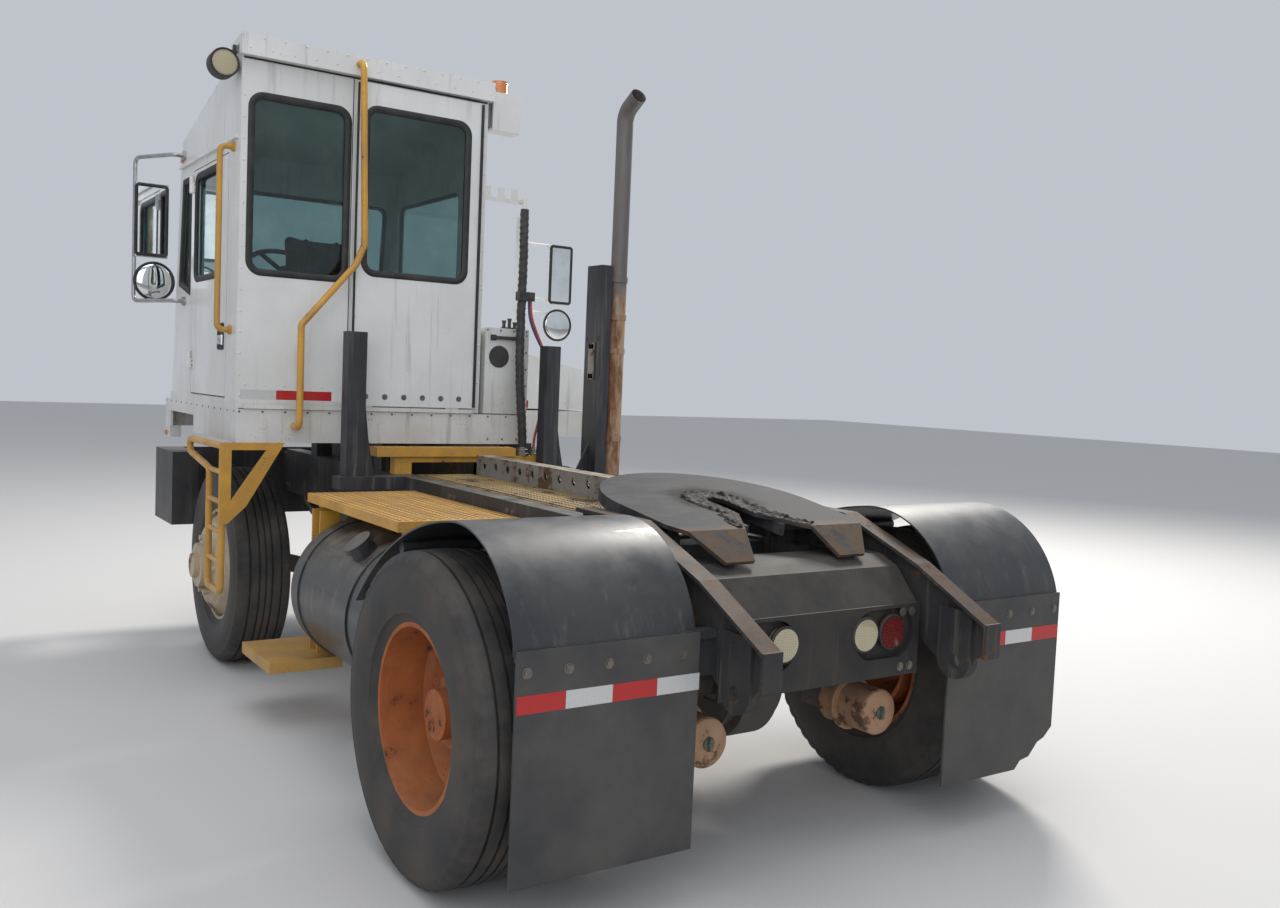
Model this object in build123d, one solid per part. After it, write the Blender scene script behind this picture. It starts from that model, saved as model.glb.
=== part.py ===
from build123d import *
import math
import os

# Terminal tractor, two axles, in millimetres. X runs forward, Y to the left, Z up.
# Stations along X count from the rear axle. At the end everything is moved along X
# so that the origin lies on the ground, midway along the length.

# wheels and axles
wheelbase = 2963
tyreRadius = 510
tyreWidth = 279
treadWidth = 212
beadRadius = 286
flangeRadius = 298
rimWidth = 212
rimWall = 10
discOffset = 159
discWall = 12
rearOuterY = 1105
frontWheelY = 950
kingpinY = 790
drumRadius = 205
spindleRadius = 40
axleEndRadius = 60
fitGap = 0.3
pinGap = 0.05

# frame
frameTop = 1054
frameBottom = 800
frameOuter = 430
frameFlange = 89
railWall = 8
frameRear = -500
apronLift = 9
frameFront = 3872

# cab
cabRear = 2235
cabLeft = 1173
cabRight = -69
cabWall = 40
baseBottom = 1200
baseTop = 1360
floorTop = 1400
baseFront = 3710
skirtWall = 14
cabSkirtRight = -345
frontFootX = 3560
frontHeadX = 3430
roofRearZ = 3030
sideTop = roofRearZ - 430
doorHinges = (1560, sideTop - 130)
roofSlope = 0.245
roofWall = 25
doorRear = 2430
doorFront = 3130
doorGap = 6
doorHingeY = 1184
glassWall = 6

# hood at the right of the cab
hoodRear = 2960
hoodFront = 3800
hoodLeft = -100
hoodRight = -1173
hoodLeftTop = 1830
hoodRightTop = 1612
hoodWall = 20
hoodCorner = 70
hoodHingeX = 3815
hoodHingeZ = 1366
hingeSpots = (-930, -330)

# rear end
rampInner = 440
rampWidth = 72
rampTip = -794
rampWall = 13
apronWall = 8
flapX = -tyreRadius - 35
fenderTrack = ((20.3, 183), (63.1, 69), (99.2, 113), (128.9, 158), (151.9, 107))
fenderOuter = 1163
fenderInner = 553
fenderWall = 6
flapWall = 8
flapBottom = 175

# lift boom and fifth wheel
boomPivotX = 2000
boomPivotZ = 930
boomPinRadius = 25
boomArmInner = 240
boomArmOuter = 296
plateHalf = 430
platePivotX = 40
platePivotZ = 1022
platePitch = 8.5
plateTop = 104
plateWall = 14
earInner = 304
earOuter = 332
cylinderFootX = 460
cylinderFootZ = 470
cylinderEyeX = 400
cylinderEyeZ = 950
barrelRadius = 60
ramRadius = 45
footPinRadius = 22
cylinderY = 170
eyeSlack = 1.2

# tank, steps and decks
tankRadius = 305
tankY = 770
tankZ = 600
tankRear = 780
tankFront = 1680

# posts and exhaust
leftPostTop = 1740
rightPostTop = 1727
exhaustPostTop = 2170
exhaustX = 1975
exhaustY = -745
exhaustRadius = 44
exhaustWall = 3
exhaustTop = 3050

# mirrors, bumper and head lamps
mirrorReach = 1385
bumperFront = 3960
bumperWall = 10
headLampY = 760
headLampZ = 860
headLampRadius = 87.5

midX = (bumperFront + rampTip) / 2


def block(x0, x1, y0, y1, z0, z1):
    # box from its low corner to its high corner
    place = Pos((x0 + x1) / 2, (y0 + y1) / 2, (z0 + z1) / 2)
    return place * Box(abs(x1 - x0), abs(y1 - y0), abs(z1 - z0))


def sideProfile(points, y0, y1):
    # outline of (x, z) points carried across from y0 to y1
    plane = Plane(origin=(0, y0, 0), x_dir=(1, 0, 0), z_dir=(0, -1, 0))
    face = plane * make_face(Polyline(*points, close=True))
    return extrude(face, amount=y1 - y0, dir=(0, 1, 0))


def endProfile(points, x0, x1):
    # outline of (y, z) points carried along from x0 to x1
    plane = Plane(origin=(x0, 0, 0), x_dir=(0, 1, 0), z_dir=(1, 0, 0))
    face = plane * make_face(Polyline(*points, close=True))
    return extrude(face, amount=x1 - x0)


def planProfile(points, z0, z1):
    # outline of (x, y) points carried up from z0 to z1
    return extrude(Pos(0, 0, z0) * make_face(Polyline(*points, close=True)), amount=z1 - z0)


def rodX(y, z, radius, x0, x1):
    return Pos((x0 + x1) / 2, y, z) * Rot(Y=90) * Cylinder(radius, abs(x1 - x0))


def rodY(x, z, radius, y0, y1):
    return Pos(x, (y0 + y1) / 2, z) * Rot(X=90) * Cylinder(radius, abs(y1 - y0))


def rodZ(x, y, radius, z0, z1):
    return Pos(x, y, (z0 + z1) / 2) * Cylinder(radius, abs(z1 - z0))


def windowX(x0, x1, y0, y1, z0, z1, radius):
    # rounded opening through a wall that faces along X
    plane = Plane(origin=(x0, (y0 + y1) / 2, (z0 + z1) / 2), x_dir=(0, 1, 0), z_dir=(1, 0, 0))
    return extrude(plane * RectangleRounded(y1 - y0, z1 - z0, radius), amount=x1 - x0)


def windowY(x0, x1, y0, y1, z0, z1, radius):
    # rounded opening through a wall that faces along Y
    plane = Plane(origin=((x0 + x1) / 2, y0, (z0 + z1) / 2), x_dir=(1, 0, 0), z_dir=(0, -1, 0))
    return extrude(plane * RectangleRounded(x1 - x0, z1 - z0, radius), amount=y1 - y0, dir=(0, 1, 0))


def tubePath(points, radius, bend):
    # round bar along straight runs with bends of one radius
    if len(points) > 2:
        path = FilletPolyline(*points, radius=bend)
    else:
        path = Line(*points)
    return sweep(Plane(origin=path @ 0, z_dir=path % 0) * Circle(radius), path=path)


def flip(shape):
    # the same piece on the other side of the centreline
    return mirror(shape, about=Plane.XZ)


def bothSides(shape):
    return group(shape, flip(shape))


def group(*shapes):
    # one node out of pieces that stay separate solids
    solids = []
    for shape in shapes:
        solids.extend(shape.solids())
    return Compound(children=solids)


def fuse(*shapes):
    whole = shapes[0]
    for shape in shapes[1:]:
        whole = whole + shape
    return whole


def wheelTurned(profile):
    # wheel profile of (radius, outboard) points turned about the wheel's own axis
    return revolve(Plane.XZ * make_face(Polyline(*profile, close=True)), Axis.Z)


def onWheel(shape, x, y):
    # puts a wheel, outboard along its Z, at a wheel centre on either side
    side = 1 if y > 0 else -1
    return Pos(x, y, tyreRadius) * Rot(X=-90 * side) * shape


# wheels

def tyre():
    half = tyreWidth / 2
    tread = treadWidth / 2
    seat = beadRadius + fitGap
    lip = rimWidth / 2 - rimWall - fitGap
    middle = (beadRadius + tyreRadius) / 2 + 12
    shoulder = tyreRadius - 26
    outline = (
        Line((seat, -lip), (seat, lip)),
        Line((seat, lip), (flangeRadius + 6, lip)),
        ThreePointArc((flangeRadius + 6, lip), (middle - 10, half), (shoulder, tread + 12)),
        ThreePointArc((shoulder, tread + 12), (tyreRadius - 9, tread + 6), (tyreRadius, tread - 12)),
        Line((tyreRadius, tread - 12), (tyreRadius, -tread + 12)),
        ThreePointArc((tyreRadius, -tread + 12), (tyreRadius - 9, -tread - 6), (shoulder, -tread - 12)),
        ThreePointArc((shoulder, -tread - 12), (middle - 10, -half), (flangeRadius + 6, -lip)),
        Line((flangeRadius + 6, -lip), (seat, -lip)),
    )
    return revolve(Plane.XZ * make_face(outline), Axis.Z)


def rim(dish):
    # steel disc wheel; dish is +1 where the disc bulges outboard and -1 where it is deep
    edge = rimWidth / 2
    outer = beadRadius
    inner = beadRadius - rimWall
    face = dish * discOffset
    back = face - dish * discWall
    band = wheelTurned([
        (inner, -edge), (flangeRadius, -edge), (flangeRadius, -edge + rimWall),
        (outer, -edge + rimWall), (outer, edge - rimWall), (flangeRadius, edge - rimWall),
        (flangeRadius, edge), (inner, edge),
    ])
    bowl = wheelTurned([
        (inner + 4, dish * 40), (inner + 4, dish * 70), (232, face - dish * 22), (200, face),
        (110, face), (110, back), (196, back), (224, face - dish * 38),
    ])
    return band + bowl


def hubStuds(face, reach):
    pitch = 143
    studs = [
        Pos(pitch * math.cos(turn), pitch * math.sin(turn), face + reach / 2) * Cylinder(15, reach)
        for turn in (math.radians(36 * n) for n in range(10))
    ]
    return fuse(*studs)


def frontWheel():
    # rim, hub, drum and studs turn as one
    face = discOffset
    hub = Pos(0, 0, 105) * Cylinder(112, 220)
    nose = Pos(0, 0, 225) * Cylinder(62, 30)
    drum = wheelTurned([
        (drumRadius - 16, -62), (drumRadius, -62), (drumRadius, 60), (112, 80), (100, 80), (100, 62),
        (drumRadius - 16, 46),
    ])
    bore = Cylinder(spindleRadius, 240)
    return fuse(rim(1), hub, nose, drum, hubStuds(face - 1, 34)) - bore


def rearWheels():
    # two rims back to back, the outer one deep, on one hub; Z = 0 midway between them
    spacing = discOffset + discWall / 2
    outer = Pos(0, 0, 2 * discOffset) * rim(-1)
    inner = rim(1)
    hub = Pos(0, 0, discOffset + 20) * Cylinder(112, 250)
    cap = Pos(0, 0, discOffset + 165) * Cylinder(78, 60)
    drum = wheelTurned([
        (drumRadius - 16, -70), (drumRadius, -70), (drumRadius, 90), (112, 110), (100, 110), (100, 92),
        (drumRadius - 16, 74),
    ])
    bore = Cylinder(axleEndRadius, 500)
    return fuse(outer, inner, hub, cap, drum, hubStuds(spacing - 8, 42)) - bore


# chassis

# top edge of each rail's rear end in side view
tailLine = [(frameRear, 829), (-400, 941), (-320, 973), (-200, 976), (-60, 986), (60, frameTop)]


def frameRails():
    web = frameOuter - railWall
    lip = frameOuter - frameFlange
    outline = [
        (frameOuter, frameBottom), (lip, frameBottom), (lip, frameBottom + railWall),
        (web, frameBottom + railWall), (web, frameTop - railWall), (lip, frameTop - railWall),
        (lip, frameTop), (frameOuter, frameTop),
    ]
    rail = endProfile(outline, frameRear, frameFront)
    # the rear end steps down to the apron, with a sloped flange along the cut
    cutTop = frameTop + 50
    above = [(tailLine[-1][0], cutTop), (frameRear - 10, cutTop), (frameRear - 10, tailLine[0][1])]
    rail -= sideProfile([*tailLine, *above], lip - 5, frameOuter + 5)
    under = [(x, z - railWall) for x, z in reversed(tailLine)]
    rail += sideProfile([*tailLine, *under], lip, frameOuter)
    return bothSides(rail)


def crossmembers():
    web = frameOuter - railWall
    low = frameBottom + railWall
    pieces = []
    for station in (900, 1450, 2180, 3820):
        pieces.append(block(station - 45, station + 45, -web, web, low, low + 60))
    pieces.append(block(-470, -410, -web, web, low, low + 30))
    shaft = rodY(boomPivotX, boomPivotZ, boomPinRadius, -web, web)
    pieces.append(shaft)
    # foot of the lift cylinders, hung between two cheeks below the rails
    x0, x1 = cylinderFootX - 60, cylinderFootX + 60
    lip = frameOuter - frameFlange
    sole = cylinderFootZ - 80
    inside = lip - 12 - fitGap
    foot = block(x0, x1, -inside, inside, sole, sole + 15)
    for side in (-1, 1):
        cheek = block(x0, x1, side * (lip - 12), side * lip, sole, low + 60)
        cheek += block(x0, x1, side * (lip - 1), side * web, low, low + 60)
        pieces.append(cheek)
        for y in (cylinderY - 52, cylinderY + 40):
            foot += block(x0 + 20, x1 - 20, side * y, side * (y + 12), sole + 14, cylinderFootZ + 28)
        y0, y1 = side * (cylinderY - 52), side * (cylinderY + 52)
        foot += rodY(cylinderFootX, cylinderFootZ, footPinRadius, y0, y1)
    pieces.append(foot)
    # cab mounts on the rails; the right rear one reaches inward
    for x0, x1, side in ((3300, 3400, 1), (2300, 2400, 1), (3575, 3630, -1)):
        pieces.append(block(x0, x1, side * lip, side * frameOuter, frameTop, baseBottom))
    pieces.append(
        block(2300, 2400, -frameOuter, -lip, frameTop, baseBottom)
        + block(2300, 2400, -lip - 1, -280, baseBottom - 40, baseBottom)
    )
    return group(*pieces)


def bumper():
    half = cabLeft
    low, high = 650, 1060
    shell = block(bumperFront - bumperWall, bumperFront, -half, half, low, high)
    for side in (-1, 1):
        shell += block(3520, bumperFront, side * (half - bumperWall), side * half, low, high)
        shell += block(3520, 3530, side * 1030, side * half, low, high)
        shell += block(3520, bumperFront, side * 1030, side * half, high - bumperWall, high)
    lip = frameOuter - frameFlange
    for side in (-1, 1):
        shell += block(frameFront, bumperFront - 5, side * lip, side * frameOuter, 820, 1030)
    seat = headLampRadius + 0.5
    for y in (-headLampY, headLampY):
        shell -= rodX(y, headLampZ, seat, bumperFront - 60, bumperFront + 20)
        ring = rodX(y, headLampZ, seat + 6, bumperFront - 60, bumperFront - 4)
        ring -= rodX(y, headLampZ, seat, bumperFront - 54, bumperFront + 4)
        shell += ring
    return shell


def frontAxle():
    drop = [
        (-745, 470), (-600, 430), (-330, 400), (330, 400), (600, 430), (745, 470),
        (745, 560), (600, 520), (330, 490), (-330, 490), (-600, 520), (-745, 560),
    ]
    beam = endProfile(drop, wheelbase - 45, wheelbase + 45)
    for side in (-1, 1):
        beam += rodZ(wheelbase, side * kingpinY, 48, tyreRadius - 60, tyreRadius + 60)
        beam += block(wheelbase - 40, wheelbase + 40, side * 735, side * (kingpinY - 30), 470, 555)
        beam -= rodZ(wheelbase, side * kingpinY, 24 + pinGap, tyreRadius - 70, tyreRadius + 70)
    # leaf springs under the rails, the long leaf uppermost
    y0, y1 = frameOuter - frameFlange + 6, frameOuter - 7
    for side in (-1, 1):
        for row, reach in enumerate((560, 470, 360, 250)):
            sag = 690 - 26 * row
            tip = sag + 0.00024 * reach * reach
            leaf = Plane(origin=(0, side * y0, 0), x_dir=(1, 0, 0), z_dir=(0, -1, 0)) * make_face((
                ThreePointArc((wheelbase - reach, tip), (wheelbase, sag - 26), (wheelbase + reach, tip)),
                Line((wheelbase + reach, tip), (wheelbase + reach, tip + 22)),
                ThreePointArc((wheelbase + reach, tip + 22), (wheelbase, sag), (wheelbase - reach, tip + 22)),
                Line((wheelbase - reach, tip + 22), (wheelbase - reach, tip)),
            ))
            beam += extrude(leaf, amount=y1 - y0, dir=(0, side, 0))
        beam += block(wheelbase - 60, wheelbase + 60, side * y0, side * y1, 480, 612)
        for end in (-1, 1):
            x = wheelbase + end * 548
            beam += block(x - 22, x + 22, side * y0, side * y1, 768, frameBottom)
    return beam


def knuckle(side):
    # yoke above and below the axle eye, kingpin, and the wheel's spindle
    y = side * kingpinY
    spindle = side * (frontWheelY + 112)
    low, high = tyreRadius - 92, tyreRadius + 92
    body = rodZ(wheelbase, y, 24, low, high)
    for z in (low, high - 30):
        body += block(wheelbase - 44, wheelbase + 44, y - side * 44, y + side * 84, z, z + 30)
    body += block(wheelbase - 50, wheelbase + 50, y + side * 56, y + side * 84, low, high)
    body += rodY(wheelbase, tyreRadius, spindleRadius - pinGap, y + side * 80, spindle)
    body += block(wheelbase - 150, wheelbase - 40, y - side * 20, y + side * 4, low, low + 26)
    return body


def rearAxle():
    tube = rodY(0, tyreRadius, axleEndRadius - pinGap, -1030, 1030)
    tube += rodY(0, tyreRadius, 76, -640, 640)
    tube += Pos(0, 0, tyreRadius) * Rot(X=90) * Cylinder(215, 150)
    tube += Pos(0, 0, tyreRadius) * Rot(X=90) * Cylinder(185, 230)
    tube += Pos(330, 0, tyreRadius + 30) * Rot(Y=90) * Cone(110, 70, 240)
    for side in (-1, 1):
        seat = sideProfile(
            [(-120, frameBottom), (120, frameBottom), (90, tyreRadius - 20), (-90, tyreRadius - 20)],
            side * (frameOuter - frameFlange), side * frameOuter,
        )
        tube += seat
        for y in (340, 418):
            tube += block(-175, -40, side * y, side * (y + 12), tyreRadius - 130, tyreRadius - 10)
    return tube


def brakeChambers():
    # spring brake: service can, clamp ring and long spring can, one behind each axle end
    x0 = -175
    shape = fuse(
        rodX(385, 425, 84, x0 - 70, x0), rodX(385, 425, 94, x0 - 92, x0 - 70),
        rodX(385, 425, 82, x0 - 214, x0 - 92), rodX(385, 425, 20, x0, x0 + 90),
    )
    shape += block(x0 - 6, x0, 335, 435, 370, 500)
    return bothSides(shape)


def engine():
    # one plain mass: block, head, gearbox and the drive shaft to the axle, with the radiator ahead
    mass = block(2700, 3560, -280, 280, 620, 1120)
    mass += block(3030, 3560, -620, -130, 1120, 1560)
    mass += block(3040, 3540, -280, -130, 1000, 1300)
    mass += rodX(0, 800, 190, 2250, 2720)
    mass += rodX(0, 740, 48, 2100, 2260)
    for x in (2800, 3400):
        mass += block(x, x + 80, -400, 400, frameBottom + railWall, frameBottom + railWall + 60)
    # drive shaft between its two joints
    mass += rodX(0, tyreRadius + 30, 48, 450, 500)
    slope = math.degrees(math.atan2(740 - 540, 2110 - 490))
    length = math.hypot(2110 - 490, 740 - 540)
    mass += Pos(1300, 0, 640) * Rot(Y=90 - slope) * Cylinder(42, length)
    radiator = block(3640, 3730, -1000, -250, baseTop, 1600)
    return group(mass, radiator)


# cab

def base():
    # skirted base of the cab and hood, with the side cowl that stands on it
    left = block(cabRear - 17, baseFront, cabSkirtRight, cabLeft, baseBottom, baseTop)
    right = block(hoodRear - 10, hoodFront, hoodRight, cabSkirtRight + 1, baseBottom, baseTop)
    shell = left + right
    shell += block(cabRear, 3600, cabRight, cabLeft, baseTop - 1, floorTop)
    inner = block(cabRear - 17 + skirtWall, baseFront - skirtWall, cabSkirtRight + skirtWall,
                  cabLeft - skirtWall, baseBottom - 1, baseTop - 14)
    inner += block(hoodRear - 10 + skirtWall, hoodFront - skirtWall, hoodRight + skirtWall,
                   cabSkirtRight + skirtWall + 1, baseBottom - 1, baseTop - 14)
    shell -= inner
    shell -= block(2980, 3568, -740, -110, baseBottom, baseTop + 5)
    shell -= block(3050, 3590, cabLeft - 40, cabLeft + 5, baseBottom - 5, 1290)
    shell += block(3600, baseFront, cabLeft - 60, cabLeft, 1140, baseBottom + 5)
    # fixed halves of the hood hinges, with their pins
    for y in hingeSpots:
        shell += rodY(hoodHingeX, hoodHingeZ, 11, y - 60, y - 25)
        shell += rodY(hoodHingeX, hoodHingeZ, 6, y - 60, y + 28)
        shell += block(hoodFront - 2, hoodHingeX, y - 60, y - 25, baseTop - 60, hoodHingeZ)
        shell += block(hoodFront - 2, hoodHingeX + 11, y - 60, y - 25, baseTop - 60, baseTop - 10)
    cowl = block(cabRear - 17, hoodRear - 20, cabSkirtRight, cabRight - 20, baseTop - 1, 1812)
    cowl -= block(cabRear - 3, hoodRear - 34, cabSkirtRight + 14, cabRight - 34, baseTop + 2, 1798)
    cowl -= rodX(-170, 1662, 52, cabRear - 40, cabRear + 20)
    # seats of the cab mounts inside the hollow skirt
    lip = frameOuter - frameFlange
    for x0, x1, side in ((3300, 3400, 1), (2300, 2400, 1), (3575, 3630, -1)):
        shell += block(x0, x1, side * lip, side * frameOuter, baseBottom, baseTop - 10)
    # lower track of the sliding door
    shell += block(rearDoorFace - 19, rearDoorFace - 1, rearDoorRight, cabLeft - 30,
                   baseTop - 1, rearDoorLow - 6)
    shell += block(2300, 2400, cabSkirtRight, -280, baseBottom, baseTop - 10)
    return shell + cowl


def frontX(z):
    # outer face of the leaning front wall at a height
    share = (z - floorTop) / (sideTop - floorTop)
    return frontFootX + (frontHeadX - frontFootX) * share


def roofZ(x):
    return roofRearZ - roofSlope * (x - cabRear)


rearDoorLeft = 640
rearDoorRight = -25
rearDoorLow = 1385
rearDoorHigh = roofRearZ - 85
rearDoorWall = 22
rearDoorFace = cabRear - 8
windowCorner = 60
rearWindow = (665, 1130, roofRearZ - 1040, roofRearZ - 225)
doorWindow = (45, 590, roofRearZ - 1000, roofRearZ - 200)
rightWindow = (2480, 3330, sideTop - 640, sideTop - 60)
shieldLow = floorTop + 500
hookTop = roofRearZ - 485


def rearWall():
    wall = block(cabRear, cabRear + cabWall, cabRight, cabLeft, floorTop, roofRearZ - 14)
    y0, y1, z0, z1 = rearWindow
    wall -= windowX(cabRear - 5, cabRear + cabWall + 5, y0, y1, z0, z1, 60)
    wall -= block(cabRear - 5, cabRear + cabWall + 5, 15, 600, floorTop + 20, rearDoorHigh - 40)
    return wall


def hoseHook():
    # notched plate that juts out beside the cab, bent forward along the cab's right side
    hook = block(cabRear, cabRear + 6, -300, cabRight, hookTop - 75, hookTop)
    hook += block(cabRear, cabRear + 90, cabRight - 6, cabRight, hookTop - 75, hookTop)
    hanger = block(bundlePoints[0][0] - 8, cabRear + 1, -284, -268, hookTop - 67, hookTop - 51)
    hanger += rodZ(bundlePoints[0][0], -276, 14, bundlePoints[0][2], hookTop - 51)
    hook += hanger
    for y in (-119, -197, -276):
        hook -= block(cabRear - 5, cabRear + 11, y - 18, y + 18, hookTop - 38, hookTop + 5)
        hook -= rodX(y, hookTop - 38, 18, cabRear - 5, cabRear + 11)
    return hook


def leftSide():
    inner = cabLeft - cabWall
    rear = cabRear + cabWall
    outline = [(rear, floorTop), (frontX(floorTop) - cabWall, floorTop), (frontX(sideTop) - cabWall, sideTop),
               (rear, sideTop)]
    wall = sideProfile(outline, inner, cabLeft)
    wall -= block(doorRear, doorFront, inner - 5, cabLeft + 5, floorTop - 5, sideTop - 40)
    wall -= quarterWindow(inner - 5, cabLeft + 5, 0)
    for z in doorHinges:
        wall += block(doorFront + 6, doorFront + 46, cabLeft - 1, cabLeft + 5, z + 26, z + 62)
        wall += block(doorFront, doorFront + 40, cabLeft, doorHingeY, z + 26, z + 62)
        wall += rodZ(doorFront, doorHingeY, 11, z + 26, z + 62)
        wall += rodZ(doorFront, doorHingeY, 6, z - 28, z + 62)
    return wall


def quarterWindow(y0, y1, shrink):
    rear, low, high = doorFront + 50 + shrink, sideTop - 670 + shrink, sideTop - 70 - shrink
    front = -85 - shrink
    outline = [(rear, low), (rear, high), (frontX(high) + front, high), (frontX(low) + front, low + 55)]
    return sideProfile(outline, y0, y1)


def rightSide():
    inner = cabRight + cabWall
    rear = cabRear + cabWall
    outline = [(rear, floorTop), (frontX(floorTop) - cabWall, floorTop), (frontX(sideTop) - cabWall, sideTop),
               (rear, sideTop)]
    wall = sideProfile(outline, cabRight, inner)
    x0, x1, z0, z1 = rightWindow
    wall -= windowY(x0, x1, cabRight - 5, inner + 5, z0, z1, windowCorner)
    return wall


def frontWall():
    lean = [(frontX(floorTop), floorTop), (frontX(sideTop), sideTop),
            (frontX(sideTop) - cabWall, sideTop), (frontX(floorTop) - cabWall, floorTop)]
    wall = sideProfile(lean, cabRight, cabLeft)
    wall -= windowX(3300, 3600, cabRight + 70, cabLeft - 70, shieldLow, sideTop - 60, windowCorner)
    return wall


def roof():
    # raised box with a sloped top, open below, and the header that juts out at the rear
    front = frontHeadX
    outer = sideProfile([(cabRear + cabWall, sideTop), (cabRear + cabWall, roofZ(cabRear + cabWall)),
                         (front - 30, roofZ(front - 30)), (front, sideTop)], cabRight, cabLeft)
    x0 = cabRear + cabWall
    inner = sideProfile([(x0 - 5, sideTop - 5), (x0 - 5, roofZ(x0) - roofWall),
                         (front - 50, roofZ(front - 50) - roofWall), (front - 28, sideTop - 5)],
                        cabRight + roofWall, cabLeft - roofWall)
    shell = outer - inner
    lip = sideProfile([(cabRear - 45, roofRearZ - 65), (cabRear - 45, roofRearZ + 30),
                       (cabRear + 150, roofRearZ + 6), (cabRear + 150, roofZ(cabRear + 150) - 4),
                       (cabRear + cabWall, roofRearZ - 14), (cabRear, roofRearZ - 14),
                       (cabRear, roofRearZ - 65)], cabRight - 14, cabLeft + 14)
    shell += lip - block(cabRear + cabWall, cabRear + 200, cabRight + roofWall, cabLeft - roofWall,
                         roofRearZ - 130, roofZ(cabRear + cabWall) - 20)
    # drip rail along both sides
    for y0, y1 in ((cabLeft - 1, cabLeft + 14), (cabRight - 14, cabRight + 1)):
        shell += block(cabRear + cabWall, front - 20, y0, y1, sideTop + 1, sideTop + 19)
    # lamp box at the right rear corner, open on its left
    low = roofRearZ - 195
    shell += (block(2240, 2350, -262, -100, low, roofRearZ)
              - block(2252, 2338, -250, -95, low + 12, roofRearZ - 12))
    shell += block(2240, 2350, -110, cabRight - 8, roofRearZ - 30, roofRearZ + 10)
    return shell


def pane(y0, y1, z0, z1, x):
    return windowX(x, x + glassWall, y0 + fitGap, y1 - fitGap, z0 + fitGap, z1 - fitGap,
                   windowCorner - fitGap)


def cabGlass():
    y0, y1, z0, z1 = rearWindow
    rear = pane(y0, y1, z0, z1, cabRear + 16)
    x0, x1, z0, z1 = rightWindow
    right = windowY(x0 + fitGap, x1 - fitGap, cabRight + 17, cabRight + 17 + glassWall,
                    z0 + fitGap, z1 - fitGap, windowCorner - fitGap)
    quarter = quarterWindow(cabLeft - 23, cabLeft - 17, fitGap)
    low = shieldLow - 100
    lean = sideProfile([(frontX(low) - 22, low), (frontX(sideTop) - 22, sideTop),
                        (frontX(sideTop) - 16, sideTop), (frontX(low) - 16, low)], cabRight, cabLeft)
    shield = lean & windowX(3300, 3600, cabRight + 70 + fitGap, cabLeft - 70 - fitGap,
                            shieldLow + fitGap, sideTop - 60 - fitGap, windowCorner - fitGap)
    return group(rear, right, quarter, shield)


driverWindow = (doorRear + 150, doorFront - 50, sideTop - 610, sideTop - 75)


def driverDoor():
    x0, x1, z0, z1 = driverWindow
    leaf = block(doorRear + doorGap, doorFront - doorGap, cabLeft - cabWall, cabLeft, floorTop + 6,
                 sideTop - 40 - doorGap)
    leaf -= windowY(x0, x1, cabLeft - cabWall - 5, cabLeft + 5, z0, z1, 50)
    leaf -= block(doorRear + 60, doorFront - 60, cabLeft - cabWall - 1, cabLeft - 14, floorTop + 60, z0 - 60)
    for z in doorHinges:
        leaf += block(doorFront - 60, doorFront - 12, cabLeft - 1, cabLeft + 5, z - 25, z + 25)
        leaf += block(doorFront - 40, doorFront, cabLeft, doorHingeY, z - 25, z + 25)
        leaf += rodZ(doorFront, doorHingeY, 11, z - 25, z + 25)
        leaf -= rodZ(doorFront, doorHingeY, 6 + pinGap, z - 25, z + 25)
    return leaf


def driverGlass():
    x0, x1, z0, z1 = driverWindow
    return windowY(x0 + fitGap, x1 - fitGap, cabLeft - 26, cabLeft - 26 + glassWall,
                   z0 + fitGap, z1 - fitGap, 50 - fitGap)


def rearDoor():
    y0, y1, z0, z1 = doorWindow
    leaf = block(rearDoorFace - rearDoorWall, rearDoorFace, rearDoorRight, rearDoorLeft,
                 rearDoorLow, rearDoorHigh)
    leaf -= windowX(rearDoorFace - rearDoorWall - 5, rearDoorFace + 5, y0, y1, z0, z1, 60)
    # shoes that run on the lower track
    for y in (60, 520):
        leaf += block(rearDoorFace - 18, rearDoorFace - 2, y, y + 70,
                      rearDoorLow - 6 + pinGap, rearDoorLow + 1)
    return leaf


def rearDoorGlass():
    y0, y1, z0, z1 = doorWindow
    return pane(y0, y1, z0, z1, rearDoorFace - 14)


def seatCushions():
    cushion = block(2520, 2990, 510, 930, 1700, 1800)
    back = sideProfile([(2490, 1730), (2395, 2200), (2455, 2230), (2519, 2180), (2519, 1801), (2519, 1730)],
                       520, 920)
    return group(fillet(cushion.edges(), 25), back)


wheelCentre = (3020, 720, 2060)
wheelTilt = -40


def interior():
    # seat pedestal, dash and steering column
    pedestal = block(2560, 2930, 590, 850, floorTop, 1640) + block(2520, 2970, 540, 900, 1639, 1699.7)
    pedestal += block(2470, 2519.7, 600, 840, 1660, 1729.7) + block(2500, 2600, 600, 840, 1660, 1690)
    dash = sideProfile([(3190, 1770), (3215, 1900), (3440, 1900), (3460, 1560), (3330, 1560)], 10, 1090)
    dash += block(3330, 3400, 500, 940, floorTop, 1570)
    column = Pos(0, 0, -170) * Cylinder(30, 308) + Pos(0, 0, 2) * Cylinder(14, 40)
    dash += Pos(*wheelCentre) * Rot(Y=wheelTilt) * column
    return group(pedestal, dash)


def steeringWheel():
    ring = Torus(205, 13)
    hub = Pos(0, 0, 8) * Cylinder(36, 40)
    spokes = [Rot(Z=120 * n + 30) * Pos(110, 0, 0) * Box(200, 24, 12) for n in range(3)]
    whole = fuse(hub, ring, *spokes) - Pos(0, 0, 2) * Cylinder(14 + pinGap, 44)
    return Pos(*wheelCentre) * Rot(Y=wheelTilt) * whole


# hood

def hoodLine(y, drop):
    share = (y - hoodLeft) / (hoodRight - hoodLeft)
    return hoodLeftTop + (hoodRightTop - hoodLeftTop) * share - drop


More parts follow.
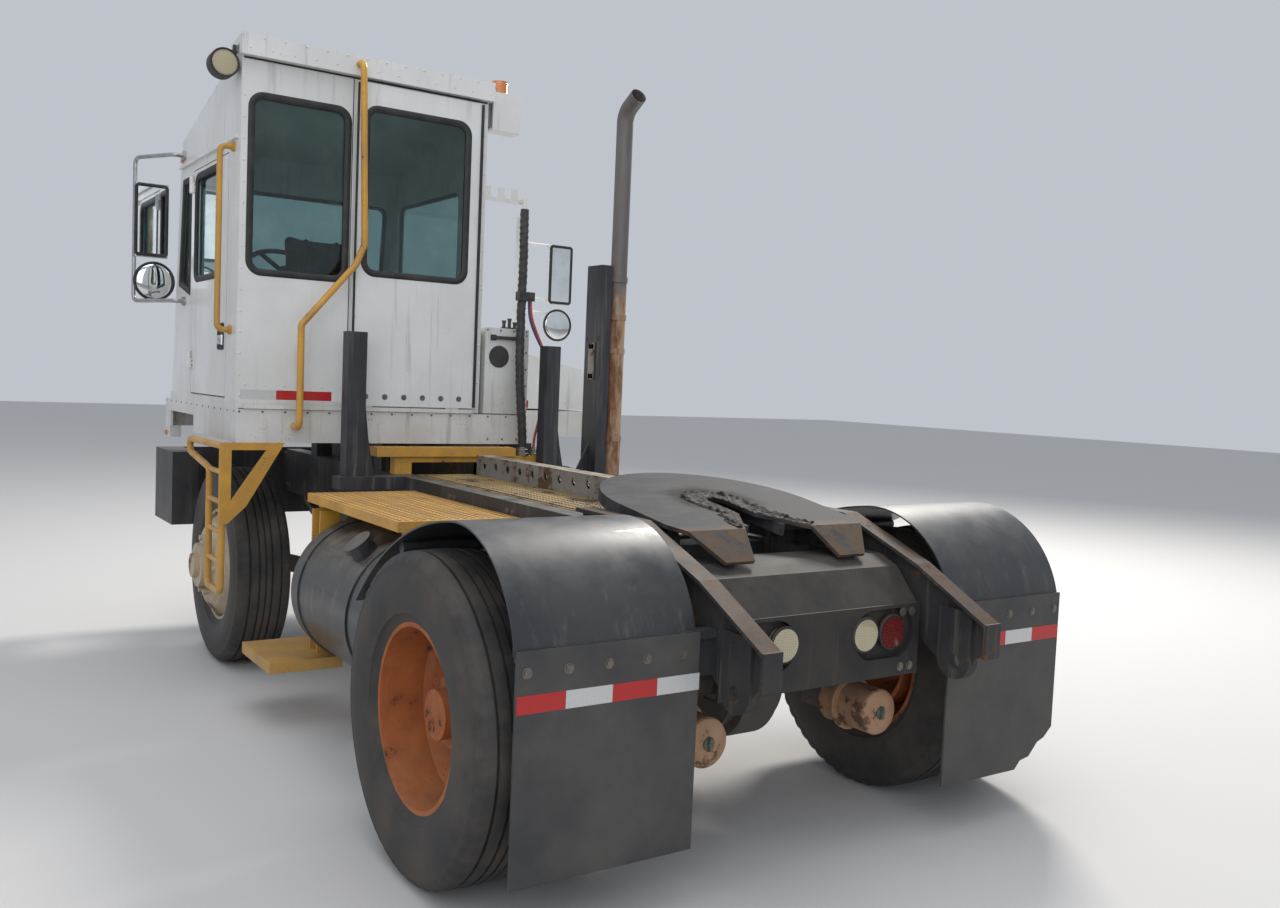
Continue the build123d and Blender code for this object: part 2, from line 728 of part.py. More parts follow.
def hoodSection(wall, drop):
    low = baseTop + 10
    left, right = hoodLeft - wall, hoodRight + wall
    corner = hoodCorner
    top = hoodLine(right + corner, drop)
    bend = top - 1.1 * corner
    return make_face((
        Line((left, low), (left, hoodLine(left, drop))),
        Line((left, hoodLine(left, drop)), (right + corner, top)),
        ThreePointArc((right + corner, top), (right + 0.27 * corner, top - 0.33 * corner), (right, bend)),
        Line((right, bend), (right, low)),
        Line((right, low), (left, low)),
    ))


def engineHood():
    plane = Plane(origin=(hoodRear, 0, 0), x_dir=(0, 1, 0), z_dir=(1, 0, 0))
    outer = extrude(plane * hoodSection(0, 0), amount=hoodFront - hoodRear)
    innerPlane = Plane(origin=(hoodRear + hoodWall, 0, 0), x_dir=(0, 1, 0), z_dir=(1, 0, 0))
    inner = extrude(innerPlane * hoodSection(hoodWall, hoodWall), amount=hoodFront - hoodRear - 2 * hoodWall)
    shell = outer - inner
    shell -= block(hoodRear + hoodWall, hoodFront - hoodWall, hoodRight + hoodWall, hoodLeft - hoodWall,
                   baseTop, baseTop + 40)
    shell -= windowX(hoodFront - 40, hoodFront + 10, -1030, -220, 1430, 1590, 30)
    for y in hingeSpots:
        shell += rodY(hoodHingeX, hoodHingeZ, 11, y - 24, y + 24)
        shell += block(hoodFront - 2, hoodHingeX + 8, y - 24, y + 24, hoodHingeZ + 6, hoodHingeZ + 44)
        shell -= rodY(hoodHingeX, hoodHingeZ, 6 + pinGap, y - 24, y + 24)
    return shell


def hoodGrille():
    frame = windowX(hoodFront - 16, hoodFront - 2, -1030 + fitGap, -220 - fitGap,
                    1430 + fitGap, 1590 - fitGap, 30 - fitGap)
    frame -= windowX(hoodFront - 20, hoodFront + 2, -1010, -240, 1450, 1570, 15)
    for z in range(1468, 1570, 22):
        frame += block(hoodFront - 14, hoodFront - 4, -1015, -235, z - 4, z + 4)
    return frame


# mirrors

def mirrorHead(x, y, low):
    head = block(x - 18, x + 18, y - 89, y + 89, low, low + 400)
    return fillet(head.edges().filter_by(Axis.Z), 14)


def roundMirror(x, y, z):
    return Pos(x, y, z) * Rot(Y=90) * Cone(108, 60, 34)


def mirrorLeft():
    # C-shaped arm with a tall flat head and a round one below it
    y = mirrorReach - 11
    high, low = sideTop + 65, sideTop - 712
    arm = tubePath([(3335, cabLeft, high), (3335, cabLeft + 62, high), (3600, y, high), (3600, y, low),
                    (3290, cabLeft + 57, low), (3290, cabLeft, low)], 11, 34)
    arm += rodY(3335, high, 24, cabLeft, cabLeft + 14)
    arm += rodY(3290, low, 24, cabLeft, cabLeft + 14)
    flat, dome = sideTop - 270, sideTop - 600
    heads = mirrorHead(3572, mirrorReach - 89, flat - 200) + roundMirror(3575, mirrorReach - 108, dome)
    heads += rodY(3600, flat, 9, y - 94, y) + rodY(3600, dome, 9, y - 97, y)
    heads += block(3580, 3604, y - 94, y - 64, flat - 9, flat + 9)
    heads += block(3578, 3606, y - 109, y - 85, dome - 10, dome + 10)
    return arm + heads


def mirrorRight():
    # white post that stands on the hood, with two arms
    x, y = 3550, -990
    foot = hoodLine(y, 0)
    post = block(x - 30, x + 30, y - 30, y + 30, foot - 30, 2610)
    post -= hoodWedge()
    arm = rodY(x + 20, 2450, 9, -1270, y) + rodY(x + 20, 2090, 9, -1270, y)
    arm += rodY(x + 20, 2000, 9, -1270, y)
    heads = mirrorHead(x + 20, -1270 - 26, 2060) + roundMirror(x - 5, -1270, 1920)
    heads += block(x, x + 24, -1280, -1250, 1900, 2010)
    return post + arm + heads


def hoodWedge():
    # everything under the hood's sloped top near the mirror post
    left, right, low = -900, -1080, 1300
    outline = [(left, low), (left, hoodLine(left, 0)), (right, hoodLine(right, 0)), (right, low)]
    return endProfile(outline, 3400, 3700)


# lift boom

def boomFrame():
    low, high = 885, 985
    frame = rodY(boomPivotX, boomPivotZ, 45, -boomArmOuter, boomArmOuter)
    for side in (-1, 1):
        y0, y1 = side * boomArmInner, side * boomArmOuter
        frame += block(-90, boomPivotX, y0, y1, low, high)
        frame += block(-10, 90, y0, y1, high - 1, platePivotZ)
        frame += rodY(platePivotX, platePivotZ, 45, y0, y1)
        frame -= rodY(platePivotX, platePivotZ, boomPinRadius,
                      side * (boomArmInner - 2), side * (boomArmOuter + 2))
    frame -= rodY(boomPivotX, boomPivotZ, boomPinRadius + pinGap, -400, 400)
    # crosshead, the pin the rams push on, and ties across the arms
    frame += block(110, 240, -boomArmInner - 1, boomArmInner + 1, 900, 975)
    frame += rodY(cylinderEyeX, cylinderEyeZ, boomPinRadius, -boomArmInner - 1, boomArmInner + 1)
    for x in (720, 1300, 1850):
        frame += block(x - 30, x + 30, -boomArmOuter, boomArmOuter, high, high + 45)
    return frame


walkTop = 1055


def boomWalkway():
    # bar grating that rides on the boom
    x0, x1, y0, y1 = 560, 2080, 35, 330
    frame = block(x0, x1, y0, y1, walkTop - 25, walkTop)
    frame -= block(x0 + 8, x1 - 8, y0 + 8, y1 - 8, walkTop - 30, walkTop + 5)
    for n in range(1, 7):
        y = y0 + n * (y1 - y0) / 7
        frame += block(x0 + 4, x1 - 4, y - 3, y + 3, walkTop - 25, walkTop)
    for n in range(1, 10):
        x = x0 + n * (x1 - x0) / 10
        frame += block(x - 4, x + 4, y0 + 4, y1 - 4, walkTop - 22, walkTop - 6)
    return frame


def boomChannel():
    # kick channel beside the walkway with a row of round holes in its side
    x0, x1 = 750, 2030
    shell = block(x0, x1, -60, 30, walkTop - 25, walkTop + 100)
    shell -= block(x0 - 5, x1 + 5, -54, 24, walkTop - 30, walkTop + 94)
    for n in range(10):
        shell -= rodY(x0 + 80 + n * 124, walkTop + 55, 19, -70, 40)
    return shell


def fifthWheel():
    top = plateTop
    rear, throat = -280, 36
    edge = [
        Line((rear, 150), (-100, throat)),
        Line((-100, throat), (75, throat)),
        ThreePointArc((75, throat), (75 + throat, 0), (75, -throat)),
        Line((75, -throat), (-100, -throat)),
        Line((-100, -throat), (rear, -150)),
        Line((rear, -150), (rear, -390)),
        Line((rear, -390), (-200, -420)),
        Line((-200, -420), (60, -plateHalf)),
        ThreePointArc((60, -plateHalf), (378, -312), (510, 0)),
        ThreePointArc((510, 0), (378, 312), (60, plateHalf)),
        Line((60, plateHalf), (-200, 420)),
        Line((-200, 420), (rear, 390)),
        Line((rear, 390), (rear, 150)),
    ]
    face = make_face(edge)
    plate = extrude(Pos(0, 0, top - plateWall) * face, amount=plateWall)
    # skirt around the front half
    inner = make_face([
        Line((-70, -plateHalf + 16), (60, -plateHalf + 16)),
        ThreePointArc((60, -plateHalf + 16), (366, -300), (494, 0)),
        ThreePointArc((494, 0), (366, 300), (60, plateHalf - 16)),
        Line((60, plateHalf - 16), (-70, plateHalf - 16)),
        Line((-70, plateHalf - 16), (-70, -plateHalf + 16)),
    ])
    skirt = extrude(Pos(0, 0, top - 44) * face, amount=31)
    skirt -= extrude(Pos(0, 0, top - 50) * inner, amount=50)
    skirt &= block(-60, 600, -500, 500, 0, 200)
    skirt -= block(-70, 130, -throat - 40, throat + 40, 0, 200)
    plate += skirt
    for side in (-1, 1):
        plate += block(-210, 430, side * 76, side * 90, top - 54, top - plateWall + 1)
        horn = planProfile([(rear, side * 150), (rear, side * 390), (rear - 140, side * 310),
                            (rear - 140, side * 190)], top - plateWall, top)
        plate += Pos(rear, 0, top) * Rot(Y=-32) * Pos(-rear, 0, -top) * horn
        ear = sideProfile([(-120, top - plateWall + 1), (120, top - plateWall + 1), (38, -24), (-38, -24)],
                          side * earInner, side * earOuter)
        plate += ear + rodY(0, 0, 45, side * earInner, side * earOuter)
        plate += rodY(0, 0, boomPinRadius - pinGap, side * (boomArmInner + 4), side * (earInner + 1))
    for x in (-150, 130):
        for side in (-1, 1):
            plate += block(x, x + 12, side * 89, side * 305, top - 54, top - plateWall + 1)
    return Pos(platePivotX, 0, platePivotZ) * Rot(Y=-platePitch) * plate


ramLength = math.hypot(cylinderEyeX - cylinderFootX, cylinderEyeZ - cylinderFootZ)
ramLean = math.degrees(math.atan2(cylinderEyeX - cylinderFootX, cylinderEyeZ - cylinderFootZ))


def onCylinder(shape):
    pair = [Pos(cylinderFootX, side * cylinderY, cylinderFootZ) * Rot(Y=ramLean) * shape for side in (-1, 1)]
    return group(*pair)


def liftBarrels():
    top = ramLength - 62
    body = Pos(0, 0, (44 + top) / 2) * Cylinder(barrelRadius, top - 44)
    body += rodY(0, 0, 40, -38, 38) + Pos(0, 0, 26) * Box(60, 70, 50)
    body -= Pos(0, 0, (58 + top) / 2 + 5) * Cylinder(ramRadius + pinGap, top - 48)
    body -= rodY(0, 0, footPinRadius + pinGap, -45, 45)
    return onCylinder(body)


def liftRods():
    body = Pos(0, 0, (60 + ramLength - 40) / 2) * Cylinder(ramRadius, ramLength - 100)
    body += Pos(0, 0, ramLength - 25) * Box(60, 70, 50)
    body += rodY(0, ramLength, 40, -38, 38)
    body -= rodY(0, ramLength, boomPinRadius + eyeSlack, -45, 45)
    return onCylinder(body)


# rear end

# running face of the ramps in side view, from the front
rampLine = [(250, 1107), (-110, 1104), (-480, 968), (rampTip, 808)]


def rampTop(x):
    # height of the running face at a station
    for (x1, z1), (x0, z0) in zip(rampLine, rampLine[1:]):
        if x >= x0:
            return z0 + (z1 - z0) * (x - x0) / (x1 - x0)
    return rampLine[-1][1]


def ramps():
    y0, y1 = rampInner, rampInner + rampWidth
    under = [(x, z - rampWall) for x, z in reversed(rampLine)]
    skin = sideProfile([*rampLine, *under], y0, y1)
    upper = [(x, z - rampWall + 1) for x, z in rampLine[:-1]]
    tip = rampTip + 2
    web = sideProfile([*upper, (tip, rampTop(tip) - rampWall + 1), (tip, 700), (-740, 690), (-705, 640),
                       (-600, 640), (-560, 660), (-500, 700), (-200, 860), (250, 980)], y0 + 30, y0 + 42)
    end = block(rampTip, rampTip + 12, y0, y1, 697, rampTop(rampTip + 12) - 1)
    lug = rodY(-650, 670, 70, y0 + 16, y0 + 56) + block(-720, -580, y0 + 16, y0 + 56, 670, rampTop(-720) - 6)
    lug -= rodY(-650, 660, 26, y0, y1)
    web -= rodY(-650, 660, 26, y0, y1)
    beam = skin + web + end + lug
    for x, z0, z1 in ((-400, 800, 870), (-100, 905, 990), (150, 970, 1045)):
        beam += block(x - 40, x + 40, frameOuter, y0 + 31, z0, z1)
    return bothSides(beam)


def apron():
    # sloped plate between the rails, bent down behind them and forward again at the foot
    web = frameOuter - railWall
    back = frameRear
    under = tailLine[:4]
    over = [(x, z + apronLift) for x, z in reversed(under)]
    slope = sideProfile([*under, *over], -frameOuter, frameOuter)
    plate = block(back - apronWall, back, -rampInner, rampInner, 590, 838)
    foot = block(back - apronWall, back + 60, -rampInner, rampInner, 590, 590 + apronWall)
    shell = plate + foot
    for side in (-1, 1):
        y0, y1 = sorted((side * 132, side * 411))
        shell -= windowX(back - apronWall - 5, back + 5, y0, y1, 655, 826, 80)
        tray = windowX(back - 1, back + 20, y0 - 6, y1 + 6, 649, 829, 85)
        tray -= windowX(back - 5, back + 14, y0, y1, 655, 826, 80)
        shell += tray
        for y in (179, 306):
            shell -= rodX(side * y, 745, 53.8, back - 20, back + 30)
    # clearance of the tray round the rails' lower lips
    for side in (-1, 1):
        shell -= block(back, back + 40, side * 340, side * 431, 799, 809)
        shell -= block(back, back + 40, side * 340, side * 431, 819, 840)
        shell -= block(back, back + 40, side * web, side * 431, 700, 900)
    return shell + slope


def tailLamps(y):
    x = frameRear
    lamp = rodX(y, 745, 53.5, x - 14, x + 30)
    return bothSides(lamp)


def fenderSkin(reach):
    # side outline of the fender: an angle above the axle and a gap to the tyre at each point
    moved = []
    for turn, gap in fenderTrack:
        out = tyreRadius + gap - reach
        angle = math.radians(turn)
        moved.append((out * math.cos(angle), tyreRadius + out * math.sin(angle)))
    return moved


def fenders():
    outer, inner = fenderSkin(0), fenderSkin(fenderWall)
    plane = Plane(origin=(0, 560, 0), x_dir=(1, 0, 0), z_dir=(0, -1, 0))
    face = plane * make_face([
        ThreePointArc(outer[0], outer[1], outer[2]),
        ThreePointArc(outer[2], outer[3], outer[4]),
        Line(outer[4], inner[4]),
        ThreePointArc(inner[4], inner[3], inner[2]),
        ThreePointArc(inner[2], inner[1], inner[0]),
        Line(inner[0], outer[0]),
    ])
    skin = extrude(face, amount=fenderOuter - 560, dir=(0, 1, 0))
    for turn, gap in ((25, 152), (57.5, 53)):
        out = tyreRadius + gap
        angle = math.radians(turn)
        skin += rodY(out * math.cos(angle), tyreRadius + out * math.sin(angle), 20, frameOuter, 1140)
    skin += block(flapX, flapX + 43, rampInner + 42, 1150, 806, 832)
    skin += block(-530, -518, rampInner + 42, 610, 690, 807)
    return bothSides(skin)


def mudFlaps():
    left = block(flapX - flapWall, flapX, fenderInner, fenderOuter, flapBottom, 830)
    right = flip(left)
    torn = Plane(origin=(flapX - 20, 0, 0), x_dir=(0, 1, 0), z_dir=(1, 0, 0)) * make_face(Polyline(
        (-1200, 150), (-930, 150), (-985, 205), (-1035, 214), (-1082, 262), (-1120, 275), (-1200, 345),
        close=True))
    right -= extrude(torn, amount=60)
    return group(left, right)


# posts, exhaust, tank and steps

def rearPosts():
    left = block(2010, 2090, 630, 720, frameTop - 1, leftPostTop)
    left -= block(2022, 2100, 642, 708, frameTop + 12, leftPostTop - 12)
    left += block(1990, 2110, frameOuter, 750, frameTop - 60, frameTop)
    gusset = [(566, frameTop - 1), (632, frameTop - 1), (632, frameTop + 470), (600, frameTop + 180)]
    left += endProfile(gusset, 2044, 2056)
    right = block(2010, 2090, -425, -345, frameTop, rightPostTop)
    right -= block(2022, 2100, -413, -357, frameTop + 12, rightPostTop - 12)
    gusset = [(-490, frameTop + 1), (-423, frameTop + 1), (-423, frameTop + 370), (-458, frameTop + 150)]
    right += endProfile(gusset, 2044, 2056)
    post = block(1950, 2100, -689, -626, frameTop - 1, exhaustPostTop)
    post -= block(1960, 2090, -700, -636, frameTop + 12, exhaustPostTop + 10)
    post += block(1930, 2120, -800, -frameOuter, frameTop - 60, frameTop)
    post += endProfile([(-627, frameTop - 1), (-540, frameTop - 1), (-627, frameTop + 170)], 2020, 2030)
    plate = block(1992, 2058, -625.9, -621, 1560, 1760)
    return group(left, right, post + plate)


def exhaust():
    # straight stack with a turned-back outlet, clamped to its post
    x, y, radius, top = exhaustX, exhaustY, exhaustRadius, exhaustTop
    inner = radius - exhaustWall
    pipe = rodZ(x, y, radius, frameTop, top - 160) - rodZ(x, y, inner, frameTop + 30, top - 155)
    outlet = FilletPolyline((x, y, top - 165), (x, y, top - 70), (x - 120, y, top), radius=90)
    ring = Plane(origin=outlet @ 0, z_dir=outlet % 0)
    pipe += sweep(ring * (Circle(radius) - Circle(inner)), path=outlet)
    for z in (1250, 1720, 1900, 2100):
        pipe += rodZ(x, y, radius + 5, z - 14, z + 14) - rodZ(x, y, radius - 1, z - 20, z + 20)
        pipe += block(x - 14, x + 14, y + radius - 1, -690, z - 12, z + 12)
    return pipe


def fuelTank():
    tank = rodX(tankY, tankZ, tankRadius, tankRear, tankFront)
    tank = fillet(tank.edges().filter_by(GeomType.CIRCLE), 24)
    neck = Cylinder(52, 60) + Pos(0, 0, 34) * Cylinder(60, 26)
    return tank + Pos(1100, tankY, tankZ) * Rot(X=-38) * Pos(0, 0, tankRadius + 14) * neck


def tankStraps():
    # bands round the tank, each on a bracket bolted to the rail
    pieces = []
    for x in (1000, 1580):
        band = rodX(tankY, tankZ, tankRadius + 6.3, x - 25, x + 25)
        band -= rodX(tankY, tankZ, tankRadius + fitGap, x - 30, x + 30)
        stand = block(x - 25, x + 25, frameOuter, frameOuter + 60, 330, 930)
        stand += endProfile([(frameOuter, 270), (frameOuter, 420), (760, 300), (760, 270)], x - 25, x + 25)
        stand -= rodX(tankY, tankZ, tankRadius + 5, x - 30, x + 30)
        pieces.append(band + stand)
    return group(*pieces)


def grating(x0, x1, y0, y1, z0, z1, planks):
    # lengthwise planks with turned-down edges and a row of slots, tied together below
    wide = (y1 - y0) / planks
    deck = block(x0, x0 + 8, y0, y1, z0, z1) + block(x1 - 8, x1, y0, y1, z0, z1)
    for n in range(planks):
        a, b = y0 + n * wide, y0 + (n + 1) * wide
        deck += block(x0 + 4, x1 - 4, a + 3, b - 3, z1 - 4, z1)
        deck += block(x0 + 4, x1 - 4, a + 3, a + 6, z0, z1) + block(x0 + 4, x1 - 4, b - 6, b - 3, z0, z1)
    return deck


def deckGratings():
    step = grating(800, 1850, 435, 950, 960, 1000, 5)
    step += block(1790, 1840, frameOuter, 900, 935, 961) + block(830, 880, frameOuter, 900, 935, 961)
    rear = grating(2104, 2212, -230, 530, 1142, 1187, 1)
    rear += block(2125, 2185, -frameOuter, frameOuter, 1112, 1143)
    for side in (-1, 1):
        rear += block(2125, 2185, side * (frameOuter - frameFlange), side * frameOuter, frameTop, 1113)
    return group(step, rear)


def boardingSteps():
    x = cabRear - 17
    gusset = Plane(origin=(x, 0, 0), x_dir=(0, 1, 0), z_dir=(1, 0, 0)) * make_face(Polyline(
        (945, baseBottom), (1240, baseBottom), (1240, 820), (1205, 820), (1120, 900), close=True))
    hole = Plane(origin=(x - 5, 0, 0), x_dir=(0, 1, 0), z_dir=(1, 0, 0)) * make_face(Polyline(
        (1030, 1165), (1190, 1165), (1190, 925), close=True))
    ladder = extrude(gusset, amount=12) - extrude(hole, amount=30)
    ladder += tubePath([(x + 16, 1226, 1190), (x + 16, 1226, 500), (2470, 1226, 500), (2470, 1226, 1062),
                        (2810, 1240, 1120), (2810, 1240, 1182), (2300, 1226, 1182),
                        (x + 16, 1226, 1182)], 16, 30)
    for z in (640, 780, 920, 1060):
        ladder += rodX(1226, z, 12, x + 16, 2470)
    low = block(1620, 2050, 850, 1170, 292, 300) + block(1620, 2050, 1162, 1170, 250, 300)
    low += block(1620, 1628, 850, 1170, 250, 300) + block(2042, 2050, 850, 1170, 250, 300)
    for x0 in (1700, 1800):
        low += block(x0, x0 + 12, 850, 940, 299, 935) - rodX(895, 420, 30, x0 - 5, x0 + 20)
    return group(ladder, low)


def grabRails():
    top, middle = roofRearZ - 15, sideTop - 440
    rear = tubePath([(2190, 640, top), (2130, 640, top), (2130, 612, middle), (2130, 654, middle - 100),
                     (2130, 908, middle - 400), (2130, 906, 1280), (cabRear - 17, 906, 1280)], 16, 30)
    x, high, low = 2345, sideTop - 30, sideTop - 878
    side = tubePath([(x, cabLeft, high), (x, 1237, high), (x, 1237, low), (x, cabLeft, low)], 14, 30)
    side += rodY(x, high, 22, cabLeft, cabLeft + 12) + rodY(x, low, 22, cabLeft, cabLeft + 12)
    return group(rear, side)


# lamps

def workLamp():
    z = roofRearZ - 105
    lamp = rodX(1245, z, 64, 2255, 2330) + block(2290, 2310, 1180, 1260, z + 60, z + 70)
    lamp += block(2290, 2310, 1187.3, 1199, z + 60, roofRearZ - 10)
    return lamp


def amberLamps():
    beacon = rodZ(2295, -160, 44, roofRearZ, roofRearZ + 66)
    roofMark = block(3375, 3405, cabLeft, cabLeft + 12, sideTop + 35, sideTop + 70)
    baseMark = block(3660, 3705, cabLeft, cabLeft + 12, 1150, 1175)
    return group(beacon, roofMark, baseMark)


def headLamps():
    lamp = rodX(headLampY, headLampZ, headLampRadius, bumperFront - 53, bumperFront - 20)
    return bothSides(lamp)


# cords

bundleRadius = 22
bundlePoints = [
    (2186, -276, 2440), (2186, -276, 2385), (2180, -274, 2328), (2173, -270, 2268), (2169, -271, 2208),
    (2164, -266, 2146), (2163, -267, 2084), (2160, -262, 2022), (2160, -264, 1960), (2156, -258, 1898),
    (2156, -261, 1836), (2152, -256, 1774), (2153, -260, 1712), (2149, -257, 1650), (2150, -263, 1588),
    (2147, -262, 1526), (2148, -270, 1464), (2145, -272, 1402), (2146, -281, 1342), (2147, -285, 1282),
    (2150, -292, 1222), (2150, -292, 1143),
]
redPoints = [
    (2140, -306, 1960), (2140, -306, 1925), (2134, -312, 1872), (2128, -330, 1820), (2122, -352, 1768),
    (2116, -376, 1716), (2112, -392, 1660), (2110, -404, 1604), (2111, -408, 1548), (2114, -404, 1492),
    (2118, -396, 1436), (2124, -386, 1382), (2130, -374, 1330), (2135, -363, 1278), (2138, -352, 1222),
    (2138, -352, 1143),
]
bluePoints = [
    (2164, -310, 1960), (2164, -310, 1915), (2160, -318, 1862), (2154, -338, 1806), (2148, -366, 1752),
    (2142, -396, 1700), (2140, -422, 1646), (2141, -438, 1590), (2144, -448, 1532), (2148, -446, 1472),
    (2154, -440, 1412), (2158, -426, 1354), (2164, -412, 1296), (2168, -400, 1240), (2168, -400, 1143),
]


def bendRadii(points):
    # one bend radius per inner point, from the shorter run beside it and half the turn
    radii = []
    for before, here, after in zip(points, points[1:], points[2:]):
        first = Vector(*here) - Vector(*before)
        second = Vector(*after) - Vector(*here)
        half = math.radians(first.get_angle(second)) / 2
        radii.append(0.45 * min(first.length, second.length) / math.tan(half))
    return radii


def hoseGland():
    # moulded boot on the bundle that the two air hoses leave from below
    low = redPoints[0][2]
    run = bundlePoints[8]
    boot = block(run[0] - 32, run[0] + 16, redPoints[0][1] - 18, run[1] + 30, low, low + 46)
    boot += block(bluePoints[0][0] - 14, bluePoints[0][0] + 14, bluePoints[0][1] - 14, run[1], low, low + 46)
    return boot - cord(bundlePoints, bundleRadius)


def cord(points, radius):
    path = FilletPolyline(*points, radius=bendRadii(points))
    return sweep(Plane(origin=path @ 0, z_dir=path % 0) * Circle(radius), path=path)


def main():
    nodes = {}
    nodes["frame_rails"] = frameRails()
    nodes["frame_crossmembers"] = crossmembers()
    nodes["front_bumper"] = bumper()
    nodes["front_axle"] = frontAxle()
    nodes["rear_axle"] = rearAxle()
    nodes["brake_chambers"] = brakeChambers()
    nodes["engine"] = engine()
    for name, side in (("left", 1), ("right", -1)):
        nodes["knuckle_" + name] = knuckle(side)
        nodes["front_wheel_" + name] = onWheel(frontWheel(), wheelbase, side * frontWheelY)
        nodes["front_tyre_" + name] = onWheel(tyre(), wheelbase, side * frontWheelY)
        inner = side * (rearOuterY - 2 * discOffset)
        nodes["rear_wheels_" + name] = onWheel(rearWheels(), 0, inner)
        nodes["rear_tyres_" + name] = group(onWheel(tyre(), 0, inner), onWheel(tyre(), 0, side * rearOuterY))
    nodes["cab_base"] = base()
    nodes["cab_rear_wall"] = rearWall()
    nodes["hose_hook"] = hoseHook()
    nodes["cab_left_side"] = leftSide()
    nodes["cab_right_side"] = rightSide()
    nodes["cab_front_wall"] = frontWall()
    nodes["cab_roof"] = roof()
    nodes["cab_glass"] = cabGlass()
    nodes["driver_door"] = driverDoor()
    nodes["driver_door_glass"] = driverGlass()
    nodes["rear_door"] = rearDoor()
    nodes["rear_door_glass"] = rearDoorGlass()
    nodes["seat_cushions"] = seatCushions()
    nodes["cab_interior"] = interior()
    nodes["steering_wheel"] = steeringWheel()
    nodes["engine_hood"] = engineHood()
    nodes["hood_grille"] = hoodGrille()
    nodes["mirror_left"] = mirrorLeft()
    nodes["mirror_right"] = mirrorRight()
    nodes["boom_frame"] = boomFrame()
    nodes["boom_walkway"] = boomWalkway()
    nodes["boom_channel"] = boomChannel()
    nodes["fifth_wheel"] = fifthWheel()
    nodes["lift_barrels"] = liftBarrels()
    nodes["lift_rods"] = liftRods()
    nodes["ramps"] = ramps()
    nodes["rear_apron"] = apron()
    nodes["clear_lamps"] = group(tailLamps(179), headLamps())
    nodes["tail_lamps_red"] = tailLamps(306)
    nodes["fenders"] = fenders()
    nodes["mud_flaps"] = mudFlaps()
    nodes["rear_posts"] = rearPosts()
    nodes["exhaust_stack"] = exhaust()
    nodes["fuel_tank"] = group(fuelTank(), tankStraps())
    nodes["deck_gratings"] = deckGratings()
    nodes["boarding_steps"] = boardingSteps()
    nodes["grab_rails"] = grabRails()
    nodes["work_lamp"] = workLamp()
    nodes["amber_lamps"] = amberLamps()
    nodes["hose_gland"] = hoseGland()
    nodes["hose_bundle"] = cord(bundlePoints, bundleRadius)
    nodes["air_hose_red"] = cord(redPoints, 7)
    nodes["air_hose_blue"] = cord(bluePoints, 7)
    os.makedirs("parts", exist_ok=True)
    for name, shape in nodes.items():
        export_step(Pos(-midX, 0, 0) * group(shape), "parts/" + name + ".step")


main()
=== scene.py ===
import bpy
import bmesh
import math
from mathutils import Matrix, Vector, noise


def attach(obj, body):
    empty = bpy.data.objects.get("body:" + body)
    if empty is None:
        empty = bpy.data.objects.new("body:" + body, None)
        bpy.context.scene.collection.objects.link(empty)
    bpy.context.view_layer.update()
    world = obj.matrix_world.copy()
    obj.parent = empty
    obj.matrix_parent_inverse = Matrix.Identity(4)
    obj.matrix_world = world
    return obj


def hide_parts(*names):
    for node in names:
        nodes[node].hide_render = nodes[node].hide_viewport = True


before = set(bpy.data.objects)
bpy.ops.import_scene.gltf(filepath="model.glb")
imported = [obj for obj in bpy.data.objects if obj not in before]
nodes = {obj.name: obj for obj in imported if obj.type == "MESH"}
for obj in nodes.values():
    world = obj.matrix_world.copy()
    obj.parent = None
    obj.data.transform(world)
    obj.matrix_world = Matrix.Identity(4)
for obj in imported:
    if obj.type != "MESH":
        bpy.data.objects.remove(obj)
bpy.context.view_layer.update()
print("frame loaded:", len(nodes), "nodes")

originX = 1583  # millimetres from the rear axle to the middle of the length


def at(x, y, z):
    # millimetres from the rear axle, as metres in the frame
    return Vector(((x - originX) / 1000, y / 1000, z / 1000))


def rgb(red, green, blue):
    return (red, green, blue, 1)


